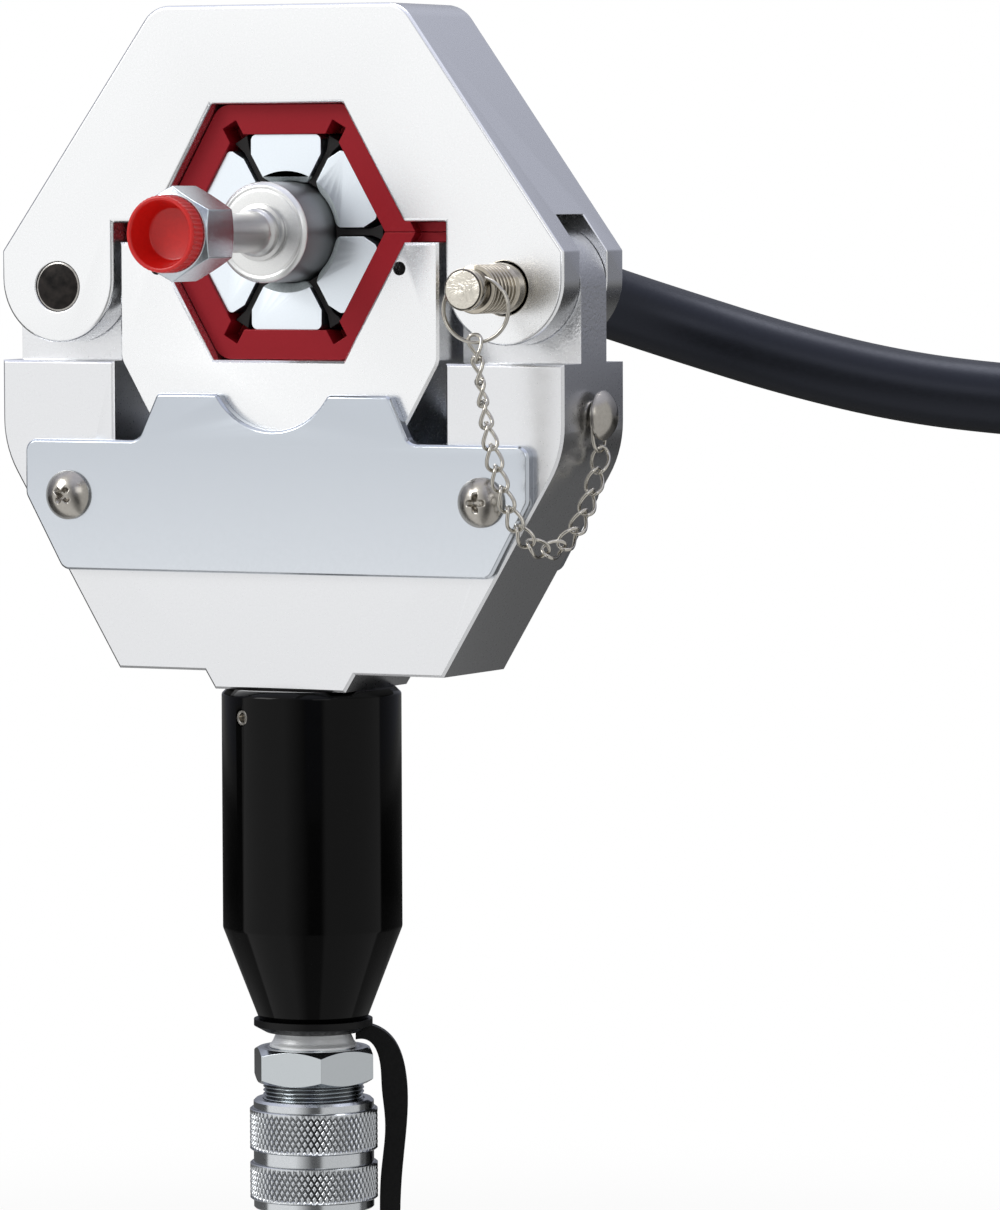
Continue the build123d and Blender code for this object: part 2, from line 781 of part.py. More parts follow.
# Coupler nipple: the male half, screwed up into the barrel
thread_bottom = hex_bottom - thread_length
with BuildPart() as coupler_nipple:
    with BuildSketch(Plane.XY.offset(hex_bottom)):
        RegularPolygon(hex_size / 2, 6, major_radius=False, rotation=hex_turn)
    extrude(amount=hex_length)
    corner_radius = hex_size / 2 / cos(radians(30))
    lip_radius = hex_size / 2 - 0.3
    lip_drop = (corner_radius - lip_radius) * tan(radians(30))
    revolve(
        outline(
            Plane.XZ,
            (0, hex_bottom),
            (lip_radius, hex_bottom),
            (corner_radius, hex_bottom + lip_drop),
            (corner_radius, hex_top - lip_drop),
            (lip_radius, hex_top),
            (0, hex_top),
        ),
        axis=Axis.Z,
        mode=Mode.INTERSECT,
    )
    revolve(
        outline(
            Plane.XZ,
            (0, barrel_bottom + stub_length - 0.5),
            (stub_diameter / 2, barrel_bottom + stub_length - 0.5),
            (stub_diameter / 2, strap_bottom),
            (neck_top / 2, strap_bottom),
            (neck_bottom / 2, hex_top),
            (neck_bottom / 2, hex_bottom),
            (thread_diameter / 2, hex_bottom),
            (thread_diameter / 2, thread_bottom),
            (nose_diameter / 2, thread_bottom),
            (nose_diameter / 2, thread_bottom - nose_length),
            (0, thread_bottom - nose_length),
        ),
        axis=Axis.Z,
    )
    with BuildSketch(Plane.XY.offset(thread_bottom - nose_length)):
        Circle(poppet_diameter / 2 + running_gap)
    extrude(amount=poppet_length + 3, mode=Mode.SUBTRACT)
    with BuildSketch(Plane.XY.offset(thread_bottom)):
        Circle(oil_way / 2)
    extrude(amount=barrel_bottom + stub_length - thread_bottom, mode=Mode.SUBTRACT)
finish_part(coupler_nipple.part, "coupler_nipple")

# Coupler socket: the female half, whose lower end takes the pump hose
nose_bottom = thread_bottom - nose_length
flange_radius = thread_diameter / 2 - running_gap
socket_top = thread_bottom - 0.3
with BuildPart() as coupler_socket:
    with BuildSketch(Plane.XY):
        RegularPolygon(socket_hex / 2, 6, major_radius=False, rotation=hex_turn)
    extrude(amount=socket_hex_length)
    revolve(
        outline(
            Plane.XZ,
            (0, socket_hex_length),
            (socket_body_diameter / 2, socket_hex_length),
            (socket_body_diameter / 2, socket_top - socket_flange_height),
            (flange_radius, socket_top - socket_flange_height),
            (flange_radius, socket_top),
            (0, socket_top),
        ),
        axis=Axis.Z,
    )
    with BuildSketch(Plane.XY.offset(nose_bottom - 0.3)):
        Circle(nose_diameter / 2 + running_gap)
    extrude(amount=nose_length + 1, mode=Mode.SUBTRACT)
    with BuildSketch(Plane.XY.offset(port_depth)):
        Circle(poppet_diameter / 2 + running_gap)
    extrude(amount=nose_bottom - port_depth, mode=Mode.SUBTRACT)
    with BuildSketch(Plane.XY):
        Circle(port_diameter / 2)
    extrude(amount=port_depth, mode=Mode.SUBTRACT)
finish_part(coupler_socket.part, "coupler_socket")


def poppet(tip, way):
    """Valve poppet with a cone at one end, in the middle of the coupler."""
    radius = poppet_diameter / 2
    with BuildPart() as valve:
        revolve(
            outline(
                Plane.XZ,
                (0, tip),
                (radius / 3, tip),
                (radius, tip + way * radius / 2),
                (radius, tip + way * poppet_length),
                (0, tip + way * poppet_length),
            ),
            axis=Axis.Z,
        )
    return valve.part


finish_part(poppet(nose_bottom + 0.3, 1), "nipple_poppet")
finish_part(poppet(nose_bottom - 0.6, -1), "socket_poppet")

# Coupler collar: the knurled sleeve that is screwed over the nipple's thread
groove_top = collar_top - collar_groove_drop
groove_bottom = groove_top - collar_groove_length
rim_radius = collar_rim_diameter / 2
ledge_z = socket_top - socket_flange_height - collar_play
with BuildPart() as coupler_collar:
    revolve(
        outline(
            Plane.XZ,
            (socket_body_diameter / 2 + running_gap, collar_bottom),
            (rim_radius, collar_bottom),
            (rim_radius, collar_bottom + collar_rim_length),
            (collar_diameter / 2, collar_bottom + collar_rim_length),
            (collar_diameter / 2, groove_bottom),
            (rim_radius, groove_bottom),
            (rim_radius, groove_top),
            (collar_diameter / 2, groove_top),
            (collar_diameter / 2, collar_top - collar_rim_length),
            (rim_radius, collar_top - collar_rim_length),
            (rim_radius, collar_top),
            (thread_diameter / 2 + running_gap, collar_top),
            (thread_diameter / 2 + running_gap, ledge_z),
            (socket_body_diameter / 2 + running_gap, ledge_z),
        ),
        axis=Axis.Z,
    )
finish_part(coupler_collar.part, "coupler_collar")

# Dust cap for the nipple, and the rubber strap whose ring is clamped under the barrel
strap_dir = (cos(radians(strap_turn)), sin(radians(strap_turn)), 0)
strap_view = Plane(origin=(0, 0, 0), x_dir=strap_dir, z_dir=(strap_dir[1], -strap_dir[0], 0))
strap_fall = strap_bottom - cap_top
strap_foot = strap_clear + 0.8
saucer_turn = barrel_foot / 2 - barrel_chamfer


def down(share):
    """Height after a share of the strap's fall from its ring to the cap."""
    return strap_bottom - share * strap_fall


with BuildPart() as dust_cap_strap:
    revolve(
        outline(
            Plane.XZ,
            (stub_diameter / 2 + running_gap, strap_bottom),
            (saucer_turn, strap_bottom),
            (strap_ring_diameter / 2, strap_bottom + barrel_chamfer),
            (strap_ring_diameter / 2, barrel_bottom + barrel_chamfer),
            (barrel_foot / 2 + running_gap, barrel_bottom + barrel_chamfer),
            (saucer_turn + running_gap, barrel_bottom),
            (stub_diameter / 2 + running_gap, barrel_bottom),
        ),
        axis=Axis.Z,
    )
    with BuildSketch(strap_view):
        with BuildLine():
            inner = Spline(
                (strap_root, down(0.03)),
                (strap_root + 3.6, down(0.04)),
                (strap_clear, down(0.105)),
                (strap_clear + 0.5, down(0.2)),
                (strap_bulge - strap_width, down(0.33)),
                (strap_clear + 0.3, down(0.51)),
                (strap_clear, down(0.72)),
                (strap_foot, cap_top),
            )
            foot = Line(inner @ 1, (strap_foot + strap_width, cap_top))
            outer = Spline(
                foot @ 1,
                (strap_clear + strap_width - 0.6, down(0.72)),
                (strap_clear + strap_width, down(0.51)),
                (strap_bulge, down(0.3)),
                (strap_bulge - 0.4, down(0.15)),
                (strap_root + 9.5, down(0.04)),
                (strap_ring_diameter / 2 - 0.3, strap_bottom + barrel_chamfer),
            )
            top = Line(outer @ 1, (strap_root, strap_bottom + strap_thickness / 4))
            Line(top @ 1, inner @ 0)
        make_face()
    extrude(amount=strap_depth / 2, both=True)
finish_part(dust_cap_strap.part, "dust_cap_strap")

cap_centre = (cap_offset * strap_dir[0], cap_offset * strap_dir[1])
with BuildPart() as dust_cap:
    with BuildSketch(Plane.XY.offset(cap_top)):
        with Locations(cap_centre):
            Circle(cap_diameter / 2)
    extrude(amount=-cap_length)
    fillet(dust_cap.edges().group_by(Axis.Z)[-1], cap_wall / 2)
    with BuildSketch(Plane.XY.offset(cap_top - cap_wall)):
        with Locations(cap_centre):
            Circle(cap_diameter / 2 - cap_wall)
    extrude(amount=-cap_length, mode=Mode.SUBTRACT)
finish_part(dust_cap.part, "dust_cap")

# Pull pin with its turned head, drilled neck and grip rings
neck_start = lock_pin_tip + lock_pin_head_length
grip_start = neck_start + lock_pin_neck_length
grip_end = grip_start + grip_ring_count * grip_ring_pitch
ring_y = neck_start + 1.6
with BuildPart() as locking_pin:
    with BuildSketch(cross_view(pin_x, pin_z)) as pin_half:
        with BuildLine():
            points = [
                (0, lock_pin_tip),
                (lock_pin_face / 2 - edge_break, lock_pin_tip),
                (lock_pin_face / 2, lock_pin_tip + edge_break),
                (lock_pin_face / 2, neck_start),
                (lock_pin_neck / 2, neck_start + 0.3),
                (lock_pin_neck / 2, grip_start),
            ]
            for ring in range(grip_ring_count):
                start = grip_start + ring * grip_ring_pitch
                points += [
                    (grip_groove_diameter / 2, start + 0.1),
                    (grip_groove_diameter / 2, start + 0.8),
                    (grip_ring_diameter / 2, start + 1.1),
                    (grip_ring_diameter / 2, start + grip_ring_pitch - 0.1),
                ]
            points += [
                (pin_radius, grip_end),
                (pin_radius, half_thickness + lock_pin_tail - 1),
                (pin_radius - 1, half_thickness + lock_pin_tail),
                (0, half_thickness + lock_pin_tail),
            ]
            Polyline(*points, close=True)
        make_face()
    revolve(axis=cross_axis(pin_x, pin_z))
    with BuildSketch(Plane(origin=(pin_x, ring_y, pin_z + ring_hole_rise), z_dir=(1, 0, 0))):
        Circle(ring_hole_diameter / 2)
    extrude(amount=pin_diameter, both=True, mode=Mode.SUBTRACT)
finish_part(locking_pin.part, "locking_pin")

# Key ring through the neck of the pull pin
ring_radius = (key_ring_diameter - wire_diameter) / 2
ring_centre = (pin_x, ring_y, pin_z - key_ring_drop)
with BuildPart() as pin_ring:
    with BuildSketch(Plane(origin=ring_centre, x_dir=(1, 0, 0), z_dir=(0, 0, 1))):
        with Locations((ring_radius, 0)):
            Circle(wire_diameter / 2)
    revolve(axis=Axis(ring_centre, (0, 1, 0)))
finish_part(pin_ring.part, "pin_ring")

# Chain screw in the side of the frame, and the oblong ring that hangs on its shoulder
screw_z = pin_z - chain_screw_drop
side_seat = Plane(origin=(half_width, 0, screw_z), x_dir=(0, 1, 0), z_dir=(1, 0, 0))
chain_screw = dome_screw(
    side_seat,
    chain_screw_diameter,
    chain_screw_length - 1,
    screw_head_diameter,
    chain_screw_shoulder,
)
finish_part(chain_screw, "chain_screw")

end_ring_bend = (end_ring_width + chain_wire) / 2
end_ring_straight = (end_ring_length - end_ring_width) / 2
end_ring_drop = (end_ring_length - chain_screw_diameter) / 2 - 0.1
end_ring_x = half_width + chain_screw_shoulder - chain_wire / 2 - 0.3
end_ring_z = screw_z - end_ring_drop
with BuildPart() as chain_end_ring:
    with BuildLine(Plane(origin=(end_ring_x, 0, end_ring_z), x_dir=(0, 1, 0), z_dir=(1, 0, 0))) as end_path:
        e1 = Line((end_ring_bend, -end_ring_straight), (end_ring_bend, end_ring_straight))
        e2 = ThreePointArc(e1 @ 1, (0, end_ring_straight + end_ring_bend), (-end_ring_bend, end_ring_straight))
        e3 = Line(e2 @ 1, (-end_ring_bend, -end_ring_straight))
        ThreePointArc(e3 @ 1, (0, -end_ring_straight - end_ring_bend), e1 @ 0)
    with BuildSketch(Plane(origin=(end_ring_x, end_ring_bend, end_ring_z), z_dir=(0, 0, 1))):
        Circle(chain_wire / 2)
    sweep(path=end_path.line)
finish_part(chain_end_ring.part, "chain_end_ring")

# Chain: oval links that hang in a catenary from the key ring to the end ring
key_ring_low = ring_centre[2] - ring_radius
end_ring_low = end_ring_z - end_ring_straight - end_ring_bend
chain_start = Vector(pin_x, ring_y, key_ring_low - (link_pitch - wire_diameter) / 2 + hook_slack)
chain_end = Vector(end_ring_x, 0, end_ring_low - (link_pitch - chain_wire) / 2 + hook_slack)
chain_low = pin_z - chain_depth
plan = Vector(chain_end.X - chain_start.X, chain_end.Y - chain_start.Y, 0)
drop_start = chain_start.Z - chain_low
drop_end = chain_end.Z - chain_low


def catenary_run(size, drop):
    """Level distance from the lowest point of a catenary to the height of a drop above it."""
    return size * acosh(1 + drop / size)


narrow, wide = 0.5, 200.0
while wide - narrow > 1e-6:
    catenary_size = (narrow + wide) / 2
    if catenary_run(catenary_size, drop_start) + catenary_run(catenary_size, drop_end) < plan.length:
        narrow = catenary_size
    else:
        wide = catenary_size
run_start = catenary_run(catenary_size, drop_start)
arc_start = catenary_size * sinh(run_start / catenary_size)
arc_end = catenary_size * sinh(catenary_run(catenary_size, drop_end) / catenary_size)
chain_length = arc_start + arc_end
link_count = 2 * round(chain_length / link_pitch / 2) + 1  # odd, so that both ends hook on
link_step = chain_length / (link_count - 1)
with BuildPart() as chain_link:
    with BuildLine() as link_path:
        bend = (link_width - chain_wire) / 2
        straight = (link_step + 2 * chain_wire + link_slack - link_width) / 2
        a1 = Line((-straight, -bend), (straight, -bend))
        a2 = ThreePointArc(a1 @ 1, (straight + bend, 0), (straight, bend))
        a3 = Line(a2 @ 1, (-straight, bend))
        ThreePointArc(a3 @ 1, (-straight - bend, 0), a1 @ 0)
    with BuildSketch(Plane(origin=(0, -bend, 0), z_dir=(1, 0, 0))):
        Circle(chain_wire / 2)
    sweep(path=link_path.line)
with BuildPart() as tether_chain:
    for number in range(link_count):
        slope = (number * link_step - arc_start) / catenary_size
        level = catenary_size * asinh(slope)
        height = chain_low + catenary_size * (sqrt(1 + slope**2) - 1)
        place = chain_start + plan.normalized() * (level + run_start)
        forward = (plan.normalized() + Vector(0, 0, slope)).normalized()
        across = plan.normalized().cross(Vector(0, 0, 1))
        turned = across.rotate(Axis((0, 0, 0), forward), 45 if number % 2 else -45)
        spot = Plane(origin=(place.X, place.Y, height), x_dir=forward, z_dir=turned)
        add(chain_link.part.moved(spot.location))
finish_part(tether_chain.part, "tether_chain")

# Ferrule: the shell that the dies squeeze on the hose
ferrule_y = -half_thickness - ferrule_reach
ferrule_end = ferrule_y + ferrule_length
work_view = cross_view(0, die_z)
work_axis = cross_axis(0, die_z)
ferrule_bore = hose_diameter / 2 + hose_fit
with BuildPart() as hose_ferrule:
    revolve(
        outline(
            work_view,
            (stem_diameter / 2, ferrule_y),
            (ferrule_diameter / 2 - edge_break, ferrule_y),
            (ferrule_diameter / 2, ferrule_y + edge_break),
            (ferrule_diameter / 2, ferrule_end),
            (ferrule_bore, ferrule_end),
            (ferrule_bore, ferrule_y + ferrule_front),
            (stem_diameter / 2, ferrule_y + ferrule_front),
        ),
        axis=work_axis,
    )
finish_part(hose_ferrule.part, "hose_ferrule")

# Stem: the barbed tube in the hose, its collar, and the flare that keeps the nut on
nut_back = ferrule_y - stem_length
nut_front = nut_back - nut_length
flare_y = nut_back - nut_wall - 0.1
with BuildPart() as hose_stem:
    revolve(
        outline(
            work_view,
            (stem_bore / 2, ferrule_end - 4),
            (stem_diameter / 2, ferrule_end - 4),
            (stem_diameter / 2, ferrule_y),
            (stem_collar / 2, ferrule_y),
            (stem_collar / 2, ferrule_y - stem_collar_length),
            (stem_step / 2, ferrule_y - stem_collar_length),
            (stem_step / 2, ferrule_y - 2 * stem_collar_length),
            (stem_diameter / 2, ferrule_y - 2.5 * stem_collar_length),
            (stem_diameter / 2, flare_y),
            (stem_flare / 2, flare_y),
            (stem_bore / 2 + 1, flare_y - flare_thickness),
            (stem_bore / 2, flare_y - flare_thickness),
        ),
        axis=work_axis,
    )
finish_part(hose_stem.part, "hose_stem")

# Hose end inside the ferrule
with BuildPart() as hose_end:
    revolve(
        outline(
            work_view,
            (hose_bore / 2, ferrule_y + ferrule_front),
            (hose_diameter / 2, ferrule_y + ferrule_front),
            (hose_diameter / 2, ferrule_end),
            (hose_bore / 2, ferrule_end),
        ),
        axis=work_axis,
    )
finish_part(hose_end.part, "hose_end")

# Free hose behind the head: it leaves the ferrule, bends to the right and droops a little
hose_route = [
    (0, ferrule_end, die_z),
    (0, 32, die_z),
    (5.3, 55.3, die_z - 3),
    (15.6, 76.6, die_z - 9.4),
    (30.2, 95, die_z - 17.2),
    (48.5, 109.2, die_z - 24.8),
    (72.4, 118.6, die_z - 32.9),
    (97.6, 130.4, die_z - 39.7),
    (122, 142.2, die_z - 43.2),
    (144, 152, die_z - 45),
]
hose_points = [Vector(*point) for point in hose_route]
hose_radii = []
for before, corner, after in zip(hose_points, hose_points[1:], hose_points[2:]):
    shorter = min((corner - before).length, (after - corner).length)
    turn = radians((corner - before).get_angle(after - corner))
    hose_radii.append(0.45 * shorter / tan(turn / 2))
print("hose bend radii:", [round(radius) for radius in hose_radii])
with BuildPart() as workpiece_hose:
    with BuildLine() as hose_line:
        FilletPolyline(*hose_points, radius=hose_radii)
    with BuildSketch(Plane(origin=hose_line.line @ 0, z_dir=hose_line.line % 0)):
        Circle(hose_diameter / 2)
    sweep(path=hose_line.line)
hose_length = sum(edge.length for edge in hose_line.edges())
hose_section = pi * hose_diameter**2 / 4
print("hose length:", round(hose_length, 1))
print("volume over section times length:",
      round(workpiece_hose.part.volume / (hose_section * hose_length), 4))
finish_part(workpiece_hose.part, "workpiece_hose")

# Swivel nut, held on the stem by its flare
with BuildPart() as swivel_nut:
    with BuildSketch(front_view(z=die_z, y=nut_back)):
        RegularPolygon(nut_size / 2, 6, major_radius=False, rotation=30)
    extrude(amount=nut_length)
    nut_corner = nut_size / 2 / cos(radians(30)) + 0.1
    bevel = nut_corner - nut_size / 2 + 0.4
    revolve(
        outline(
            work_view,
            (0, nut_back),
            (nut_corner - bevel, nut_back),
            (nut_corner, nut_back - bevel * 0.6),
            (nut_corner, nut_front + bevel * 0.6),
            (nut_corner - bevel, nut_front),
            (0, nut_front),
        ),
        axis=work_axis,
        mode=Mode.INTERSECT,
    )
    with BuildSketch(front_view(z=die_z, y=nut_back - nut_wall)):
        Circle(nut_thread / 2)
    extrude(amount=nut_length, mode=Mode.SUBTRACT)
    with BuildSketch(front_view(z=die_z, y=nut_back)):
        Circle(stem_diameter / 2 + running_gap)
    extrude(amount=nut_length, mode=Mode.SUBTRACT)
finish_part(swivel_nut.part, "swivel_nut")

# Shipping plug in the mouth of the nut, hollow like a cup
plug_front = nut_front - plug_rim_length
with BuildPart() as nut_plug:
    revolve(
        outline(
            work_view,
            (0, nut_front + plug_depth),
            (nut_thread / 2 - running_gap, nut_front + plug_depth),
            (nut_thread / 2 - running_gap, nut_front - 0.1),
            (plug_rim / 2, nut_front - 0.1),
            (plug_rim / 2, plug_front + edge_break),
            (plug_rim / 2 - edge_break, plug_front),
            (plug_rim / 2 - plug_lip, plug_front),
            (plug_dish_floor / 2, plug_front + plug_dish),
            (0, plug_front + plug_dish),
        ),
        axis=work_axis,
    )
finish_part(nut_plug.part, "nut_plug")
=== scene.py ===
"""Looks of a hydraulic hose crimping head, piece by piece in the order it is put together.

Lengths are metres, written as a number of mm where that reads better. +X points to the right as one
faces the plates, +Y away from the viewer and +Z up.
"""
from math import cos, pi, radians, sin, tan

import bmesh
import bpy
import numpy as np
from mathutils import Matrix, Vector


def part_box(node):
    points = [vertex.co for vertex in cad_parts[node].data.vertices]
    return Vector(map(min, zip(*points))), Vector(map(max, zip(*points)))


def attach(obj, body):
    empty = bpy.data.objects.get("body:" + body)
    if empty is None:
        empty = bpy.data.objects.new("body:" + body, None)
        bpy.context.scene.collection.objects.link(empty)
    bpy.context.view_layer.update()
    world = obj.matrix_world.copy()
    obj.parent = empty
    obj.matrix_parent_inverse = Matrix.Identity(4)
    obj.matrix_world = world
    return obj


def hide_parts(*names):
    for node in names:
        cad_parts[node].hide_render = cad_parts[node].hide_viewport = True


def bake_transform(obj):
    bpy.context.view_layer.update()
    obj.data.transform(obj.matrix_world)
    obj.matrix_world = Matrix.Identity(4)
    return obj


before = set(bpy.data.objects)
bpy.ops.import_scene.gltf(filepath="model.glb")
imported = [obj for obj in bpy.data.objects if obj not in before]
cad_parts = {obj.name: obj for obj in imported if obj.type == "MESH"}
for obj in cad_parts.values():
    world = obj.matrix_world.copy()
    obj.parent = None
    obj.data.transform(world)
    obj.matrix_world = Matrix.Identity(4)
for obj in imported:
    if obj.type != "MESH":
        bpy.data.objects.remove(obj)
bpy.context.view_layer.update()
mm = 0.001


# Lower frame
# A block of steel, milled, then satin nickel plated. The plating gives broad pale faces with a very
# fine grain, a bright line along each broken edge, and a coarser blasted grain on the two ears.
def linear(colour):
    """An sRGB hex colour as the linear colour, with alpha, that a shader takes."""
    channels = np.array([int(colour[i:i + 2], 16) for i in (1, 3, 5)]) / 255
    light = np.where(channels <= 0.04045, channels / 12.92, ((channels + 0.055) / 1.055) ** 2.4)
    return (*light, 1.0)


def add(tree, kind, sockets=(), **settings):
    """Add a shader node, set it, and fill its sockets with values or with other nodes' outputs."""
    node = tree.nodes.new("ShaderNode" + kind)
    for name, value in settings.items():
        setattr(node, name, value)
    for key, value in dict(sockets).items():
        if isinstance(value, bpy.types.NodeSocket):
            tree.links.new(value, node.inputs[key])
        else:
            node.inputs[key].default_value = value
    return node


def grained(name, dark, light, metallic, roughness, grain, depth, stretch=(1, 1, 1), **sockets):
    """Material whose colour, roughness and relief follow one noise of the given grain size."""
    material = bpy.data.materials.new(name)
    material.use_nodes = True
    tree = material.node_tree
    tree.nodes.clear()
    place = add(tree, "TexCoord")
    noise_map = add(tree, "Mapping", {"Vector": place.outputs["Object"], "Scale": stretch})
    noise = add(tree, "TexNoise", {"Vector": noise_map.outputs[0], "Scale": 1 / grain, "Detail": 3.0})
    ramp = add(tree, "MapRange", {0: noise.outputs[0], 1: 0.3, 2: 0.7})
    colour = add(tree, "Mix", {0: ramp.outputs[0], 6: linear(dark), 7: linear(light)}, data_type="RGBA")
    rough = add(tree, "MapRange", {0: ramp.outputs[0], 3: roughness[0], 4: roughness[1]})
    relief = add(tree, "Bump", {"Height": noise.outputs[0], "Strength": 1.0, "Distance": depth})
    shader = add(tree, "BsdfPrincipled", {
        "Base Color": colour.outputs[2], "Metallic": metallic, "Roughness": rough.outputs[0],
        "Normal": relief.outputs[0], **sockets})
    output = add(tree, "OutputMaterial", {0: shader.outputs[0]})
    output.name = "surface"
    return material


def shader_of(material):
    """The shader node that a material's output takes."""
    return material.node_tree.nodes["surface"].inputs[0].links[0].from_node


def broken_edges(piece, width, crease):
    """Bevel every edge that is sharper than the crease angle, in degrees, as a file would."""
    broken = piece.modifiers.new("broken_edge", "BEVEL")
    broken.width = width
    broken.segments = 2
    broken.limit_method = "ANGLE"
    broken.angle_limit = radians(crease)
    broken.harden_normals = True


def machined(node, finish, body, edge=0.2 * mm, crease=32):
    """Piece with a solid's own shape: triangles joined, flat faces whole, edges broken by a bevel."""
    joined = bmesh.new()
    joined.from_mesh(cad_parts[node].data)
    bmesh.ops.remove_doubles(joined, verts=joined.verts, dist=1e-6)
    bmesh.ops.dissolve_limit(joined, angle_limit=radians(0.6), verts=joined.verts,
                             edges=joined.edges, use_dissolve_boundaries=False)
    mesh = bpy.data.meshes.new(node + "_finished")
    joined.to_mesh(mesh)
    joined.free()
    mesh.shade_smooth()
    mesh.set_sharp_from_angle(angle=radians(crease))
    mesh.materials.append(finish)
    piece = bpy.data.objects.new(node + "_finished", mesh)
    bpy.context.scene.collection.objects.link(piece)
    if edge:
        broken_edges(piece, edge, crease)
    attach(piece, body)
    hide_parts(node)
    return piece


nickel_plate = grained("satin_nickel_plate_on_steel", "#e2e3e5", "#e6e7e9", 1.0, (0.27, 0.31),
                       grain=0.5 * mm, depth=0.0003 * mm)
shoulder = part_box("front_plate")[1].z + 7.6 * mm
grit_size = 0.7 * mm
pit_depth = 0.12 * mm
blasting = nickel_plate.node_tree
surface = shader_of(nickel_plate)
place = add(blasting, "TexCoord")
level = add(blasting, "SeparateXYZ", {0: place.outputs["Object"]})
on_ears = add(blasting, "MapRange", {0: level.outputs[2], 1: shoulder, 2: shoulder + 9 * mm})
grit = add(blasting, "TexNoise", {"Vector": place.outputs["Object"], "Scale": 1 / grit_size, "Detail": 2.0})
pits = add(blasting, "Bump", {
    "Height": grit.outputs[0], "Strength": on_ears.outputs[0], "Distance": pit_depth,
    "Normal": surface.inputs["Normal"].links[0].from_socket})
blasting.links.new(pits.outputs[0], surface.inputs["Normal"])
machined("lower_frame", nickel_plate, "frame", edge=0.35 * mm)

# Hinge pin
# A 12 mm dowel of blackened steel, driven in flush. Its end is mottled by the heat of blackening and
# its turned rim is worn bright.
hinge_low, hinge_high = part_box("hinge_pin")
hinge_middle = (hinge_low + hinge_high) / 2


def eased(profile, ease):
    """A profile with each inner corner rounded: three points of the curve that touches both sides."""
    points = np.array(profile, float)
    before, corner, after = points[:-2], points[1:-1], points[2:]
    back, ahead = before - corner, after - corner
    reach_back = np.linalg.norm(back, axis=1, keepdims=True)
    reach_ahead = np.linalg.norm(ahead, axis=1, keepdims=True)
    cut = np.minimum(ease, 0.45 * np.minimum(reach_back, reach_ahead))
    start = corner + back / reach_back * cut
    end = corner + ahead / reach_ahead * cut
    middle = (start + 2 * corner + end) / 4
    rounded = np.stack([start, middle, end], axis=1).reshape(-1, 2)
    return np.vstack([points[:1], rounded, points[-1:]])


def turned(profile, centre, axis=(0, 0, 1), sides=96):
    """Grid of a turned shape: each (radius, height) of the profile carried round the axis."""
    axis = np.array(axis, float)
    first = np.cross(axis, (0.0, 1.0, 0.0) if abs(axis[1]) < 0.5 else (1.0, 0.0, 0.0))
    first /= np.linalg.norm(first)
    second = np.cross(axis, first)
    angle = np.linspace(0, 2 * pi, sides, endpoint=False)
    ring = np.outer(np.cos(angle), first) + np.outer(np.sin(angle), second)
    profile = np.asarray(profile, float)
    return np.array(centre) + profile[:, None, :1] * ring + profile[:, None, 1:] * axis


def shaped(name, grids, finish, body, stands_for=(), crease=35):
    """Piece made of grids of points whose columns close on themselves, with faces outwards."""
    points, faces, count = [], [], 0
    for grid in grids:
        index = np.arange(grid.shape[0] * grid.shape[1]).reshape(grid.shape[:2])
        low, high = index[:-1], index[1:]
        quads = np.stack([low, np.roll(low, -1, 1), np.roll(high, -1, 1), high], -1).reshape(-1, 4)
        corners = (grid.reshape(-1, 3) - grid.reshape(-1, 3).mean(0))[quads]
        volume = np.einsum("ij,ij->i", corners[:, 0], np.cross(corners[:, 1], corners[:, 2])).sum()
        volume += np.einsum("ij,ij->i", corners[:, 0], np.cross(corners[:, 2], corners[:, 3])).sum()
        faces.append((quads if volume > 0 else quads[:, ::-1]) + count)
        points.append(grid.reshape(-1, 3))
        count += len(points[-1])
    mesh = bpy.data.meshes.new(name)
    mesh.from_pydata(np.vstack(points).tolist(), [], np.vstack(faces).tolist())
    closed = bmesh.new()
    closed.from_mesh(mesh)
    bmesh.ops.remove_doubles(closed, verts=closed.verts, dist=1e-7)
    closed.to_mesh(mesh)
    closed.free()
    mesh.shade_smooth()
    mesh.set_sharp_from_angle(angle=radians(crease))
    mesh.materials.append(finish)
    piece = bpy.data.objects.new(name, mesh)
    bpy.context.scene.collection.objects.link(piece)
    if body:
        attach(piece, body)
    if stands_for:
        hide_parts(*stands_for)
    return piece


black_oxide = grained("black_oxide_on_steel", "#0d0c0c", "#2c2826", 0.8, (0.34, 0.5),
                      grain=2.2 * mm, depth=0.006 * mm)
pin_half = (hinge_high.y - hinge_low.y) / 2
pin_radius = (hinge_high.x - hinge_low.x) / 2
dowel = eased([(0, -pin_half), (pin_radius, -pin_half), (pin_radius, pin_half), (0, pin_half)], 0.5 * mm)
hinge_dowel = shaped("hinge_pin_dowel", [turned(dowel, hinge_middle, (0, 1, 0))], black_oxide, "frame",
                     ["hinge_pin"])
worn_rim = grained("worn_bright_rim_of_dowel", "#9b9894", "#b5b2ae", 1.0, (0.2, 0.3), grain=1 * mm,
                   depth=0.001 * mm)
rim_width = 0.6 * mm


def second_finish(piece, finish, belongs):
    """Give another finish to the faces whose middles and normals pass a test."""
    faces = piece.data.polygons
    middles = np.empty(3 * len(faces), np.float32)
    normals = np.empty(3 * len(faces), np.float32)
    faces.foreach_get("center", middles)
    faces.foreach_get("normal", normals)
    chosen = belongs(middles.reshape(-1, 3), normals.reshape(-1, 3))
    piece.data.materials.append(finish)
    faces.foreach_set("material_index", chosen.astype(np.int32))


second_finish(hinge_dowel, worn_rim, lambda middle, normal: (
    (np.hypot(middle[:, 0] - hinge_middle.x, middle[:, 2] - hinge_middle.z) > pin_radius - rim_width)
    & (abs(middle[:, 1] - hinge_middle.y) > pin_half - rim_width)))

